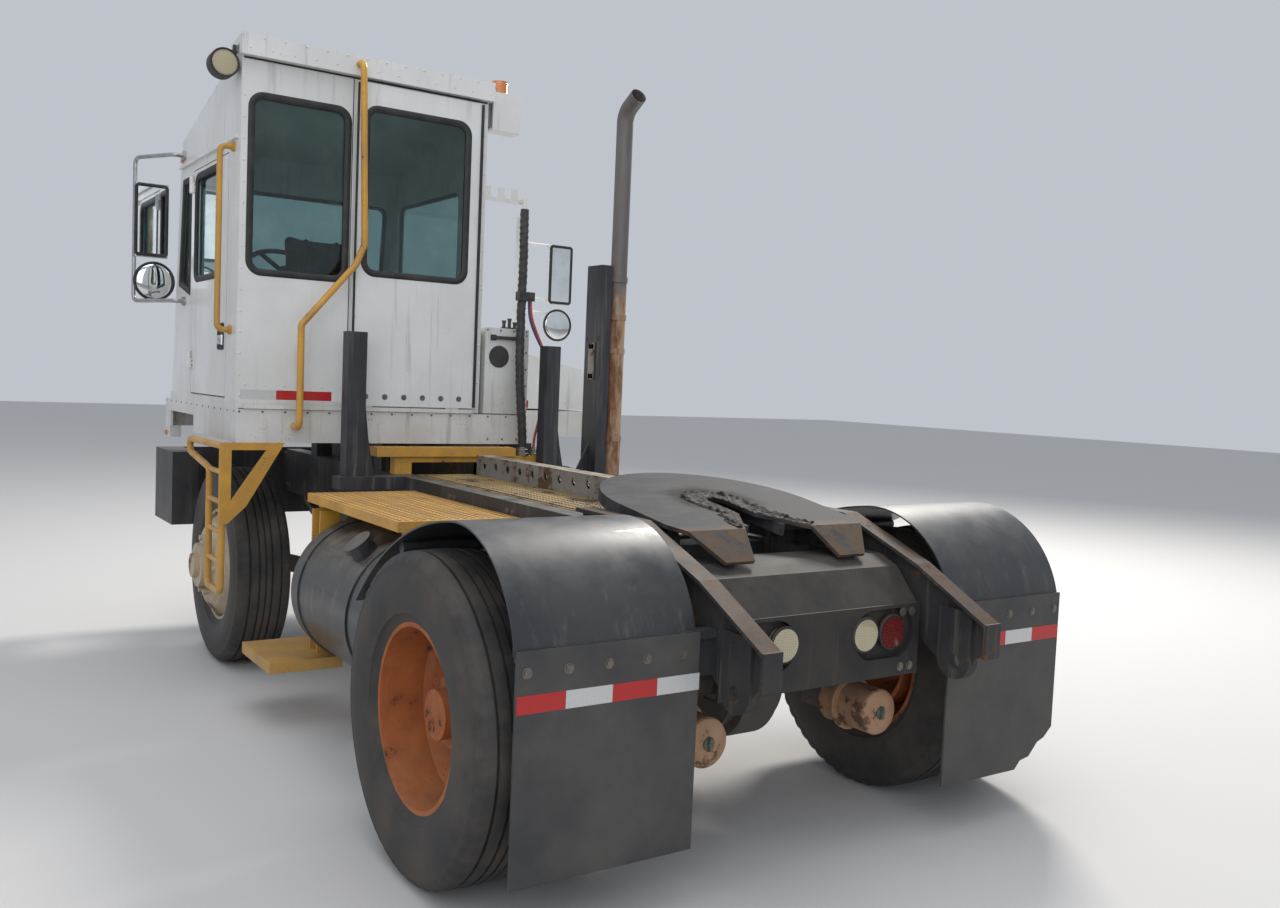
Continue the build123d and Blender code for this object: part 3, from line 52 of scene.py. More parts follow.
class Graph:
    # a node tree in short calls: a socket given as a value is linked, and anything else is set;
    # below, g is the tree being built and s holds its own inputs
    made = []

    def __init__(self, tree):
        self.tree = tree
        Graph.made.append(self)

    def feed(self, socket, value):
        if isinstance(value, bpy.types.NodeSocket):
            self.tree.links.new(value, socket)
        else:
            socket.default_value = value

    def node(self, kind, inputs=None, **settings):
        made = self.tree.nodes.new(kind)
        for key, value in settings.items():
            setattr(made, key, value)
        for key, value in (inputs or {}).items():
            self.feed(made.inputs[key], value)
        return made

    def set(self, node, **values):
        for key, value in values.items():
            self.feed(node.inputs[key.replace("_", " ")], value)

    def calc(self, operation, first, second, clamp=True):
        inputs = {0: first, 1: second}
        return self.node("ShaderNodeMath", inputs, operation=operation, use_clamp=clamp).outputs[0]

    def times(self, first, second):
        return self.calc("MULTIPLY", first, second)

    def mixColors(self, factor, first, second):
        return self.node("ShaderNodeMix", {0: factor, 6: first, 7: second}, data_type="RGBA").outputs[2]

    def mixValues(self, factor, first, second):
        return self.node("ShaderNodeMix", {0: factor, 2: first, 3: second}).outputs[0]

    def ramp(self, source, low, high):
        inputs = {0: source, 1: low, 2: high}
        return self.node("ShaderNodeMapRange", inputs, interpolation_type="SMOOTHSTEP").outputs[0]

    def noise(self, vector, scale, detail, rough):
        inputs = {"Detail": detail, "Roughness": rough, "Vector": vector, "Scale": scale}
        return self.node("ShaderNodeTexNoise", inputs).outputs[0]

    def stretched(self, vector, scale):
        return self.node("ShaderNodeMapping", {"Scale": scale, "Vector": vector}).outputs[0]

    def axes(self, vector):
        return self.node("ShaderNodeSeparateXYZ", {0: vector}).outputs

    def place(self, label="Object"):
        return self.node("ShaderNodeTexCoord").outputs[label]

    def bump(self, shader, height, strength, distance):
        inputs = {"Strength": strength, "Distance": distance, "Height": height}
        self.feed(shader.inputs["Normal"], self.node("ShaderNodeBump", inputs).outputs[0])

    def arrange(self):
        # nodes in columns, from the inputs at the left to the output at the right
        column = {node.name: 0 for node in self.tree.nodes}
        for step in column:
            for link in self.tree.links:
                reach = column[link.from_node.name] + 1
                column[link.to_node.name] = max(reach, column[link.to_node.name])
        filled = {}
        for node in self.tree.nodes:
            here = column[node.name]
            filled[here] = filled.get(here, 0) + 1
            node.location = (here * 190, -filled[here] * 170)


color, number = "NodeSocketColor", "NodeSocketFloat"


def startGroup(name, inputs):
    tree = bpy.data.node_groups.new(name, "ShaderNodeTree")
    for label, value in inputs.items():
        kind = color if isinstance(value, tuple) else number
        tree.interface.new_socket(name=label, in_out="INPUT", socket_type=kind).default_value = value
    g = Graph(tree)
    return g, g.node("NodeGroupInput").outputs


def endGroup(g, **results):
    for label, socket in results.items():
        kind = color if socket.type == "RGBA" else number
        g.tree.interface.new_socket(name=label, in_out="OUTPUT", socket_type=kind)
    g.node("NodeGroupOutput", results)
    return g.tree


# shared effects

def makeWeatherGroup():
    # paint with a second tone, rust patches, small chips, run marks, mud near the ground and dust on top
    g, s = startGroup("weatheredPaint", {
        "Paint": rgb(0.5, 0.5, 0.5), "Shade": rgb(0.4, 0.4, 0.4), "Rust": rgb(0.2, 0.08, 0.03),
        "Dust": rgb(0.3, 0.27, 0.23), "Scale": 4, "Rust Amount": 0.3, "Chip Amount": 0.3, "Run Amount": 0.3,
        "Dust Amount": 0.3, "Mud Amount": 0.3, "Mud Height": 1.0, "Gloss": 0.4, "Matt": 0.8})
    spot = g.place()
    up = g.axes(g.place("Normal"))[2]
    # two tones of the paint
    tone = g.ramp(g.noise(spot, s["Scale"], 5, 0.6), 0.3, 0.7)
    painted = g.mixColors(tone, s["Paint"], s["Shade"])
    # run marks, long in height, on upright faces
    runs = g.noise(g.stretched(spot, (16, 16, 0.9)), 1.6, 6, 0.65)
    runMask = g.times(g.ramp(runs, 0.52, 0.74), s["Run Amount"])
    runMask = g.times(runMask, g.ramp(g.calc("ABSOLUTE", up, 0), 0.9, 0.3))
    painted = g.mixColors(runMask, painted, s["Dust"])
    # rust patches with a ragged border
    patch = g.noise(spot, s["Scale"], 12, 0.72)
    edge = g.calc("SUBTRACT", 0.78, g.times(s["Rust Amount"], 0.45))
    rustMask = g.ramp(patch, edge, g.calc("ADD", edge, 0.05))
    # chips: small cells where a second noise is high
    cells = g.node("ShaderNodeTexVoronoi", {"Scale": 75, "Vector": spot}).outputs["Distance"]
    chipEdge = g.calc("SUBTRACT", 0.74, g.times(s["Chip Amount"], 0.36))
    chips = g.times(g.ramp(cells, 0.34, 0.2), g.ramp(g.noise(spot, 9, 6, 0.7), chipEdge, 0.8))
    rustMask = g.calc("MAXIMUM", rustMask, chips)
    fine = g.noise(spot, 70, 6, 0.7)
    darkRust = g.mixColors(fine, s["Rust"], rgb(0.035, 0.018, 0.012))
    shown = g.mixColors(rustMask, painted, darkRust)
    # mud thrown up from the road
    ragged = g.times(g.noise(spot, 7, 5, 0.65), 0.5)
    level = g.calc("ADD", g.axes(spot)[2], ragged, clamp=False)
    mudMask = g.times(g.ramp(level, s["Mud Height"], 0.12), s["Mud Amount"])
    shown = g.mixColors(mudMask, shown, s["Dust"])
    # dust that settles on faces that look up
    settled = g.times(g.ramp(up, 0.3, 0.9), g.ramp(g.noise(spot, 11, 6, 0.6), 0.3, 0.7))
    dustMask = g.times(settled, s["Dust Amount"])
    shown = g.mixColors(dustMask, shown, s["Dust"])
    # worn and dirty places are dull, and rust is rough
    dull = g.calc("MAXIMUM", rustMask, g.calc("MAXIMUM", mudMask, dustMask))
    cloudy = g.calc("MAXIMUM", dull, g.times(tone, 0.35))
    grain = g.times(g.noise(spot, 260, 3, 0.6), 0.12)
    return endGroup(g, Color=shown, Roughness=g.mixValues(cloudy, s["Gloss"], s["Matt"]),
                    Height=g.mixValues(rustMask, grain, fine))


def makeRubberGroup():
    # rubber with pale dust, scuffs and a fine grain
    g, s = startGroup("dustyRubber", {
        "Rubber": rgb(0.02, 0.02, 0.02), "Dust": rgb(0.2, 0.18, 0.15), "Dust Amount": 0.5, "Scale": 6,
        "Scuff": 0.4})
    spot = g.place()
    cloud = g.ramp(g.noise(spot, s["Scale"], 8, 0.65), 0.32, 0.72)
    scuffs = g.noise(g.stretched(spot, (3, 3, 22)), 2.5, 7, 0.7)
    scuffMask = g.times(g.ramp(scuffs, 0.6, 0.72), s["Scuff"])
    pale = g.calc("MAXIMUM", g.times(cloud, s["Dust Amount"]), scuffMask)
    return endGroup(g, Color=g.mixColors(pale, s["Rubber"], s["Dust"]),
                    Roughness=g.mixValues(pale, 0.55, 0.92), Height=g.noise(spot, 320, 4, 0.7))


def makeCellGroup():
    # honeycomb cells, as inside reflective tape and lamp lenses
    g, s = startGroup("moldedCells", {
        "Base": rgb(0.6, 0.02, 0.02), "Line": rgb(0.3, 0.01, 0.01), "Scale": 160})
    inputs = {"Randomness": 0.12, "Vector": g.place(), "Scale": s["Scale"]}
    cells = g.node("ShaderNodeTexVoronoi", inputs, feature="DISTANCE_TO_EDGE")
    edge = g.ramp(cells.outputs["Distance"], 0.02, 0.12)
    return endGroup(g, Color=g.mixColors(edge, s["Line"], s["Base"]), Height=edge)


weatherGroup = makeWeatherGroup()
rubberGroup = makeRubberGroup()
cellGroup = makeCellGroup()


# materials

def startMaterial(name):
    material = bpy.data.materials.new(name)
    material.use_nodes = True
    g = Graph(material.node_tree)
    g.tree.nodes.clear()
    shader = g.node("ShaderNodeBsdfPrincipled")
    g.node("ShaderNodeOutputMaterial", {0: shader.outputs[0]})
    return material, g, shader


def effectMaterial(name, group, values, strength, distance, **settings):
    # colour, roughness where the effect has it, and bump from one of the shared effects
    material, g, shader = startMaterial(name)
    effect = g.node("ShaderNodeGroup", values, node_tree=group).outputs
    g.set(shader, Base_Color=effect["Color"], **settings)
    if "Roughness" in effect:
        g.set(shader, Roughness=effect["Roughness"])
    g.bump(shader, effect["Height"], strength, distance)
    return material


# the order of the nine amounts that each worn paint has after its four colours
paintAmounts = ("Scale", "Rust Amount", "Chip Amount", "Run Amount", "Dust Amount", "Mud Amount",
                "Mud Height", "Gloss", "Matt")


def paintValues(paint, shade, rust, dust, amounts):
    colors = {"Paint": rgb(*paint), "Shade": rgb(*shade), "Rust": rgb(*rust), "Dust": rgb(*dust)}
    return {**colors, **dict(zip(paintAmounts, amounts))}


def wornPaint(name, paint, shade, rust, dust, amounts, strength=0.35, **settings):
    values = paintValues(paint, shade, rust, dust, amounts)
    return effectMaterial(name, weatherGroup, values, strength, 0.002, **settings)


def rubbery(name, rubber, dust, dustAmount, scale, scuff, strength):
    values = {"Rubber": rgb(*rubber), "Dust": rgb(*dust), "Dust Amount": dustAmount, "Scale": scale,
              "Scuff": scuff}
    return effectMaterial(name, rubberGroup, values, strength, 0.001)


def cellMaterial(name, base, line, scale, roughness, coat, strength=0.4, **settings):
    values = {"Base": rgb(*base), "Line": rgb(*line), "Scale": scale}
    return effectMaterial(name, cellGroup, values, strength, 0.0008, Roughness=roughness,
                          Coat_Weight=coat, **settings)


def lensMaterial(name, base, line, scale):
    return cellMaterial(name, base, line, scale, 0.12, 1.0, 0.5, Transmission_Weight=0.1, IOR=1.49)


def glassMaterial():
    material, g, shader = startMaterial("dustyGlass")
    haze = g.noise(g.place(), 5, 8, 0.7)
    tint = g.mixColors(g.ramp(haze, 0.4, 0.75), rgb(0.36, 0.50, 0.50), rgb(0.46, 0.57, 0.55))
    g.set(shader, Base_Color=tint, Roughness=g.mixValues(g.ramp(haze, 0.45, 0.8), 0.02, 0.16),
          Transmission_Weight=1.0, IOR=1.45)
    return material


def fabricMaterial():
    material, g, shader = startMaterial("wornCloth")
    spot = g.place()
    threads = []
    for way in "XZ":
        inputs = {"Scale": 150, "Distortion": 0.6, "Vector": spot}
        wave = g.node("ShaderNodeTexWave", inputs, wave_type="BANDS", bands_direction=way)
        threads.append(wave.outputs["Fac"])
    cloth = g.times(*threads)
    tone = g.mixColors(cloth, rgb(0.018, 0.018, 0.02), rgb(0.06, 0.06, 0.064))
    stain = g.ramp(g.noise(spot, 8, 6, 0.6), 0.35, 0.7)
    g.set(shader, Base_Color=g.mixColors(stain, tone, rgb(0.09, 0.08, 0.07)), Roughness=0.9,
          Sheen_Weight=0.25)
    g.bump(shader, cloth, 0.4, 0.0015)
    return material


def plateMaterial(throat):
    # bare plate, polished grey, black with grease round the throat and brown on its drooping horns
    material, g, shader = startMaterial("couplerPlate")
    spot = g.place()
    away = g.node("ShaderNodeVectorMath", {0: spot, 1: throat}, operation="DISTANCE").outputs["Value"]
    ragged = g.times(g.noise(spot, 16, 8, 0.7), 0.16)
    near = g.ramp(g.calc("ADD", away, ragged), 0.30, 0.19)
    smear = g.noise(g.stretched(spot, (6, 2.4, 3)), 2.4, 9, 0.66)
    polish = g.mixColors(g.ramp(smear, 0.36, 0.66), rgb(0.036, 0.036, 0.040), rgb(0.072, 0.071, 0.071))
    streak = g.ramp(g.noise(g.stretched(spot, (3, 14, 3)), 2.6, 8, 0.7), 0.6, 0.72)
    polish = g.mixColors(streak, polish, rgb(0.095, 0.072, 0.055))
    horn = g.ramp(g.axes(spot)[0], throat.x - 0.30, throat.x - 0.36)
    brown = g.times(horn, g.ramp(g.noise(spot, 13, 8, 0.7), 0.34, 0.56))
    worn = g.mixColors(brown, polish, rgb(0.105, 0.070, 0.046))
    g.set(shader, Base_Color=g.mixColors(near, worn, rgb(0.014, 0.013, 0.012)),
          Roughness=g.mixValues(near, g.mixValues(smear, 0.6, 0.85), 0.8),
          Metallic=g.mixValues(near, 0.12, 0.0), Specular_IOR_Level=0.16)
    g.bump(shader, g.noise(spot, 55, 9, 0.65), 0.35, 0.003)
    return material


def greaseMaterial():
    # thick black grease, with grit in it
    material, g, shader = startMaterial("thickGrease")
    spot = g.place()
    grit = g.ramp(g.noise(spot, 38, 9, 0.7), 0.42, 0.68)
    g.set(shader, Base_Color=g.mixColors(grit, rgb(0.011, 0.010, 0.010), rgb(0.034, 0.030, 0.027)),
          Roughness=g.mixValues(grit, 0.6, 0.9), Specular_IOR_Level=0.12)
    g.bump(shader, g.noise(spot, 150, 8, 0.7), 0.4, 0.003)
    return material


def rampSteelMaterial():
    # painted ramp whose running face is worn to rusty steel
    material, g, shader = startMaterial("rampSteel")
    values = paintValues((0.030, 0.030, 0.033), (0.055, 0.052, 0.05), brownRust, paleMud,
                         (4, 0.42, 0.5, 0.3, 0.06, 0.25, 1.0, 0.6, 0.9))
    effect = g.node("ShaderNodeGroup", values, node_tree=weatherGroup).outputs
    spot = g.place()
    upward = g.ramp(g.axes(g.place("Normal"))[2], 0.5, 0.8)
    worn = g.times(upward, g.ramp(g.noise(spot, 12, 9, 0.7), 0.38, 0.5))
    rusty = g.mixColors(g.noise(spot, 45, 8, 0.7), rgb(0.120, 0.066, 0.036), rgb(0.026, 0.021, 0.019))
    g.set(shader, Base_Color=g.mixColors(worn, effect["Color"], rusty), Roughness=effect["Roughness"],
          Specular_IOR_Level=0.2)
    g.bump(shader, effect["Height"], 0.5, 0.002)
    return material


def exhaustMaterial():
    # grey pipe above, heat-tanned and rusty below
    material, g, shader = startMaterial("heatStainedPipe")
    spot = g.place()
    wander = g.times(g.noise(spot, 6, 5, 0.6), 0.4)
    tan = g.ramp(g.calc("ADD", g.axes(spot)[2], wander, clamp=False), 2.3, 2.12)
    patch = g.ramp(g.noise(g.stretched(spot, (9, 9, 2)), 1.8, 10, 0.72), 0.42, 0.62)
    grey = g.mixColors(patch, rgb(0.135, 0.128, 0.125), rgb(0.20, 0.175, 0.16))
    rusty = g.mixColors(patch, rgb(0.42, 0.29, 0.18), rgb(0.20, 0.085, 0.04))
    g.set(shader, Base_Color=g.mixColors(tan, grey, rusty), Roughness=g.mixValues(patch, 0.42, 0.85),
          Metallic=0.35)
    g.bump(shader, g.noise(spot, 90, 6, 0.7), 0.25, 0.002)
    return material


def plainMetal(name, tint, roughness, metallic, scale, strength):
    # bare or plated metal with fine streaks
    material, g, shader = startMaterial(name)
    fine = g.noise(g.place(), scale, 6, 0.6)
    dark = [part * 0.62 for part in tint]
    g.set(shader, Base_Color=g.mixColors(g.ramp(fine, 0.3, 0.75), rgb(*tint), rgb(*dark)),
          Roughness=g.mixValues(fine, roughness * 0.7, roughness * 1.4), Metallic=metallic)
    g.bump(shader, fine, strength, 0.0008)
    return material


paleMud = (0.26, 0.225, 0.18)
brownRust = (0.26, 0.10, 0.035)

# worn paints: paint, shade, rust, dust, the amounts, then the strength of the bump
cabWhite = wornPaint("cabEnamel", (0.76, 0.76, 0.75), (0.66, 0.66, 0.64), (0.22, 0.10, 0.05),
                     (0.36, 0.33, 0.28), (2.2, 0.08, 0.42, 0.5, 0.45, 0.35, 1.75, 0.28, 0.6),
                     0.12, Coat_Weight=0.2)
baseWhite = wornPaint("baseEnamel", (0.72, 0.72, 0.70), (0.58, 0.57, 0.54), (0.24, 0.11, 0.05),
                      (0.33, 0.29, 0.24), (3, 0.24, 0.7, 0.75, 0.5, 0.6, 1.9, 0.32, 0.7),
                      0.15, Coat_Weight=0.15)
chassisBlack = wornPaint("chassisPaint", (0.024, 0.025, 0.028), (0.048, 0.047, 0.046), brownRust, paleMud,
                         (5, 0.24, 0.4, 0.4, 0.4, 0.5, 1.15, 0.42, 0.85))
postBlack = wornPaint("postPaint", (0.020, 0.021, 0.026), (0.036, 0.038, 0.045), brownRust, paleMud,
                      (6, 0.1, 0.3, 0.45, 0.35, 0.2, 1.4, 0.38, 0.75))
fenderBlack = wornPaint("fenderPaint", (0.022, 0.024, 0.029), (0.040, 0.041, 0.044), (0.12, 0.08, 0.055),
                        (0.15, 0.14, 0.125), (2.5, 0.06, 0.35, 0.4, 0.35, 0.3, 1.25, 0.34, 0.72),
                        0.2, Coat_Weight=0.15)
apronBrown = wornPaint("apronPaint", (0.026, 0.026, 0.027), (0.052, 0.046, 0.041), (0.13, 0.075, 0.045),
                       (0.12, 0.10, 0.08), (4, 0.3, 0.5, 0.4, 0.3, 0.35, 0.95, 0.6, 0.88),
                       Specular_IOR_Level=0.22)
castDark = wornPaint("oilyCasting", (0.045, 0.040, 0.036), (0.085, 0.070, 0.058), (0.2, 0.09, 0.04),
                     paleMud, (8, 0.5, 0.4, 0.3, 0.6, 0.6, 1.1, 0.45, 0.9), 0.7, Metallic=0.2)
# dark paint laid flat in holes and gaps in place of the shade inside them: painted shade
holeShadePaint = wornPaint("shadedGap", (0.020, 0.016, 0.013), (0.034, 0.024, 0.017), (0.10, 0.045, 0.02),
                     (0.06, 0.05, 0.04), (12, 0.3, 0.2, 0.2, 0.2, 0.1, 1.1, 0.8, 0.95), 0.3)
chamberTan = wornPaint("chamberRust", (0.46, 0.27, 0.16), (0.33, 0.17, 0.09), (0.16, 0.07, 0.035),
                       (0.42, 0.32, 0.22), (9, 0.5, 0.5, 0.3, 0.4, 0.4, 0.9, 0.6, 0.95), 0.6)
safetyYellow = wornPaint("safetyEnamel", (0.62, 0.33, 0.045), (0.46, 0.24, 0.05), (0.17, 0.065, 0.025),
                         (0.30, 0.23, 0.15), (6, 0.34, 0.75, 0.4, 0.35, 0.45, 1.2, 0.36, 0.8), 0.4)
walkwayOchre = wornPaint("walkwayEnamel", (0.40, 0.27, 0.085), (0.24, 0.17, 0.075), (0.13, 0.07, 0.035),
                         (0.24, 0.18, 0.10), (7, 0.55, 0.8, 0.3, 0.4, 0.3, 1.3, 0.5, 0.9), 0.5)
channelGrey = wornPaint("channelGrey", (0.30, 0.28, 0.25), (0.20, 0.175, 0.145), (0.22, 0.11, 0.05),
                        (0.34, 0.29, 0.22), (9, 0.55, 0.8, 0.4, 0.5, 0.2, 1.2, 0.5, 0.88), 0.5, Metallic=0.2)
tankBlack = wornPaint("tankEnamel", (0.026, 0.027, 0.030), (0.046, 0.046, 0.048), brownRust, paleMud,
                      (3, 0.08, 0.3, 0.3, 0.6, 0.5, 0.95, 0.3, 0.75), 0.2, Coat_Weight=0.15)
wheelBeige = wornPaint("frontWheelEnamel", (0.56, 0.47, 0.34), (0.42, 0.32, 0.21), (0.22, 0.09, 0.04),
                       (0.36, 0.30, 0.23), (6, 0.4, 0.6, 0.3, 0.4, 0.5, 0.8, 0.5, 0.85), 0.35)
wheelRust = wornPaint("rearWheelRust", (0.44, 0.135, 0.035), (0.30, 0.085, 0.026), (0.16, 0.05, 0.02),
                      (0.40, 0.25, 0.14), (7, 0.45, 0.7, 0.4, 0.3, 0.25, 0.7, 0.65, 0.95), 0.5)

# rubbers and plastics: base, dust, dust amount, scale, scuff, strength of the bump
plugGreen = rubbery("plugGreen", (0.05, 0.10, 0.085), (0.26, 0.20, 0.14), 0.6, 30, 0.3, 0.3)
tyreRubber = rubbery("tyreRubber", (0.022, 0.022, 0.023), (0.115, 0.095, 0.075), 0.6, 5, 0.25, 0.35)
flapRubber = rubbery("flapRubber", (0.038, 0.038, 0.040), (0.125, 0.115, 0.10), 0.55, 3, 0.5, 0.35)
sealRubber = rubbery("sealRubber", (0.012, 0.012, 0.013), (0.10, 0.095, 0.085), 0.3, 12, 0.2, 0.15)
hoseBlack = rubbery("hoseWrap", (0.020, 0.020, 0.022), (0.12, 0.11, 0.10), 0.55, 24, 0.4, 0.4)
hoseRed = rubbery("hoseRed", (0.42, 0.05, 0.04), (0.24, 0.14, 0.11), 0.6, 20, 0.4, 0.2)
hoseBlue = rubbery("hoseBlue", (0.035, 0.085, 0.26), (0.14, 0.16, 0.20), 0.5, 20, 0.4, 0.2)
darkPlastic = rubbery("grainedPlastic", (0.030, 0.030, 0.031), (0.13, 0.12, 0.11), 0.35, 10, 0.2, 0.25)
dashPlastic = rubbery("dashPlastic", (0.075, 0.075, 0.078), (0.18, 0.17, 0.155), 0.4, 8, 0.2, 0.3)

windowGlass = glassMaterial()
seatCloth = fabricMaterial()
couplerPlate = plateMaterial(at(115, 0, 1135))
thickGrease = greaseMaterial()
rampSteel = rampSteelMaterial()
pipeStain = exhaustMaterial()

# metals: tint, roughness, metallic, scale, strength of the bump
mirrorSilver = plainMetal("mirrorSilver", (0.86, 0.88, 0.88), 0.03, 1.0, 3, 0.0)
mirrorFrame = plainMetal("mirrorFrame", (0.46, 0.46, 0.46), 0.32, 0.85, 22, 0.1)
ramChrome = plainMetal("ramChrome", (0.55, 0.55, 0.56), 0.14, 1.0, 40, 0.05)
boltSteel = plainMetal("boltSteel", (0.24, 0.21, 0.18), 0.5, 0.8, 60, 0.3)

# tapes and lenses: base, line between the cells, scale, then roughness and coat of the tapes
tapeRed = cellMaterial("tapeRed", (0.50, 0.012, 0.012), (0.30, 0.008, 0.008), 190, 0.38, 0.2)
tapeSilver = cellMaterial("tapeSilver", (0.60, 0.60, 0.59), (0.38, 0.38, 0.37), 190, 0.28, 0.4)
lensRed = lensMaterial("lensRed", (0.16, 0.008, 0.007), (0.07, 0.003, 0.003), 130)
lensClear = lensMaterial("lensClear", (0.50, 0.44, 0.28), (0.34, 0.29, 0.17), 120)
lensAmber = lensMaterial("lensAmber", (0.80, 0.24, 0.015), (0.45, 0.12, 0.008), 110)

# what each node of the frame is finished in
nodeFinish = [
    (cabWhite, "cab_rear_wall cab_left_side cab_right_side cab_front_wall cab_roof driver_door rear_door"
               " engine_hood mirror_right hose_hook"),
    (mirrorFrame, "mirror_left"),
    (baseWhite, "cab_base"),
    (chassisBlack, "frame_rails frame_crossmembers front_bumper hood_grille boom_frame lift_barrels"),
    (postBlack, "rear_posts"),
    (fenderBlack, "fenders"),
    (apronBrown, "rear_apron"),
    (rampSteel, "ramps"),
    (castDark, "front_axle rear_axle engine knuckle_left knuckle_right"),
    (chamberTan, "brake_chambers"),
    (safetyYellow, "deck_gratings boarding_steps grab_rails"),
    (walkwayOchre, "boom_walkway"),
    (channelGrey, "boom_channel"),
    (couplerPlate, "fifth_wheel"),
    (tankBlack, "fuel_tank"),
    (wheelBeige, "front_wheel_left front_wheel_right"),
    (wheelRust, "rear_wheels_left rear_wheels_right"),
    (tyreRubber, "front_tyre_left front_tyre_right rear_tyres_left rear_tyres_right"),
    (flapRubber, "mud_flaps"),
    (hoseBlack, "hose_bundle hose_gland"),
    (hoseRed, "air_hose_red"),
    (hoseBlue, "air_hose_blue"),
    (darkPlastic, "work_lamp steering_wheel"),
    (dashPlastic, "cab_interior"),
    (windowGlass, "cab_glass driver_door_glass rear_door_glass"),
    (seatCloth, "seat_cushions"),
    (pipeStain, "exhaust_stack"),
    (ramChrome, "lift_rods"),
    (lensRed, "tail_lamps_red"),
    (lensClear, "clear_lamps"),
    (lensAmber, "amber_lamps"),
]
finished = set()
for material, names in nodeFinish:
    for name in names.split():
        mesh = nodes[name].data
        mesh.materials.clear()
        mesh.materials.append(material)
        finished.add(name)
print("materials set; nodes without one:", sorted(set(nodes) - finished))


# mesh helpers, all in millimetres from the rear axle

def addBox(bm, x0, x1, y0, y1, z0, z1):
    corners = [bm.verts.new((x, y, z)) for x in (x0, x1) for y in (y0, y1) for z in (z0, z1)]
    for loop in ((0, 1, 3, 2), (4, 6, 7, 5), (0, 4, 5, 1), (2, 3, 7, 6), (0, 2, 6, 4), (1, 5, 7, 3)):
        bm.faces.new([corners[n] for n in loop])


def axesAlong(direction):
    along = Vector(direction).normalized()
    side = along.cross(Vector((0, 0, 1)))
    if side.length < 0.01:
        side = along.cross(Vector((0, 1, 0)))
    side.normalize()
    return along, side, along.cross(side)


def aroundAxis(count, side, up, radius):
    # even spokes round an axis
    turns = [2 * math.pi * n / count for n in range(count)]
    return [(side * math.cos(turn) + up * math.sin(turn)) * radius for turn in turns]


def bridge(bm, first, second):
    # faces between two closed rows of corners
    count = len(first)
    for n in range(count):
        m = (n + 1) % count
        bm.faces.new((first[n], first[m], second[m], second[n]))


def addTurned(bm, origin, direction, profile, sides=32):
    # profile holds radius and distance along the axis; its ends are closed with flat caps
    along, side, up = axesAlong(direction)
    rings = []
    for radius, reach in profile:
        middle = Vector(origin) + along * reach
        rings.append([bm.verts.new(middle + spoke) for spoke in aroundAxis(sides, side, up, radius)])
    for a, b in zip(rings, rings[1:]):
        bridge(bm, a, b)
    bm.faces.new(rings[0][::-1])
    bm.faces.new(rings[-1])


def addRing(bm, path, section, place):
    # a closed moulding: section holds distance outward and height, place turns a, b and height to a point
    count = len(path)
    rows = []
    for n in range(count):
        before, here, after = Vector(path[n - 1]), Vector(path[n]), Vector(path[(n + 1) % count])
        first, second = (here - before).normalized(), (after - here).normalized()
        across = Vector((first.y + second.y, -first.x - second.x))
        across /= max(0.3, 1 + first.dot(second))
        rows.append([bm.verts.new(place(here.x + across.x * out, here.y + across.y * out, lift))
                     for out, lift in section])
    for n in range(count):
        bridge(bm, rows[n], rows[(n + 1) % count])


def facingBack(x):
    # places a ring on the plane at x, seen from behind
    return lambda a, b, height: (x - height, a, b)


def facingFront(x):
    return lambda a, b, height: (x + height, a, b)


def facingLeft(y):
    return lambda a, b, height: (a, y + height, b)


def roundedRectangle(a0, a1, b0, b1, radius, steps=7):
    # counter-clockwise, so that the outward side of addRing is outside the opening
    points = []
    for a, b, start in ((a1 - radius, b1 - radius, 0), (a0 + radius, b1 - radius, 90),
                        (a0 + radius, b0 + radius, 180), (a1 - radius, b0 + radius, 270)):
        for n in range(steps + 1):
            angle = math.radians(start + 90 * n / steps)
            points.append((a + radius * math.cos(angle), b + radius * math.sin(angle)))
    return points


def circlePath(a, b, radius, count):
    return [(a + radius * math.cos(2 * math.pi * n / count), b + radius * math.sin(2 * math.pi * n / count))
            for n in range(count)]


def toMesh(bm, name, smooth=35, outward=True):
    if outward:
        bmesh.ops.recalc_face_normals(bm, faces=bm.faces)
    intoFrame = Matrix.Scale(0.001, 4) @ Matrix.Translation((-originX, 0, 0))
    bmesh.ops.transform(bm, matrix=intoFrame, verts=bm.verts)
    limit = math.radians(smooth)
    for edge in bm.edges:
        edge.smooth = len(edge.link_faces) == 2 and edge.calc_face_angle(0) < limit
    for face in bm.faces:
        face.smooth = True
    mesh = bpy.data.meshes.new(name)
    bm.to_mesh(mesh)
    bm.free()
    return mesh


def link(name, mesh):
    piece = bpy.data.objects.new(name, mesh)
    bpy.context.scene.collection.objects.link(piece)
    return piece


def addPiece(name, bm, material, body="chassis", smooth=35, outward=True):
    mesh = toMesh(bm, name, smooth, outward)
    mesh.materials.append(material)
    piece = link(name, mesh)
    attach(piece, body)
    return piece


# geometry node helpers

def startGeometry(name, sizes):
    tree = bpy.data.node_groups.new(name, "GeometryNodeTree")
    sockets = tree.interface
    sockets.new_socket(name="Geometry", in_out="INPUT", socket_type="NodeSocketGeometry")
    sockets.new_socket(name="Geometry", in_out="OUTPUT", socket_type="NodeSocketGeometry")
    for label, value in sizes.items():
        sockets.new_socket(name=label, in_out="INPUT", socket_type=number).default_value = value
    sockets.new_socket(name="Material", in_out="INPUT", socket_type="NodeSocketMaterial")
    g = Graph(tree)
    return g, g.node("NodeGroupInput").outputs


def endGeometry(g, s, shape, **placing):
    # the shape on every point, as real faces in the material that is given
    spread = g.node("GeometryNodeInstanceOnPoints", {"Points": s["Geometry"], "Instance": shape, **placing})
    real = g.node("GeometryNodeRealizeInstances", {0: spread.outputs[0]})
    paint = g.node("GeometryNodeSetMaterial", {"Geometry": real.outputs[0], "Material": s["Material"]})
    g.node("NodeGroupOutput", {0: paint.outputs[0]})
    return g.tree


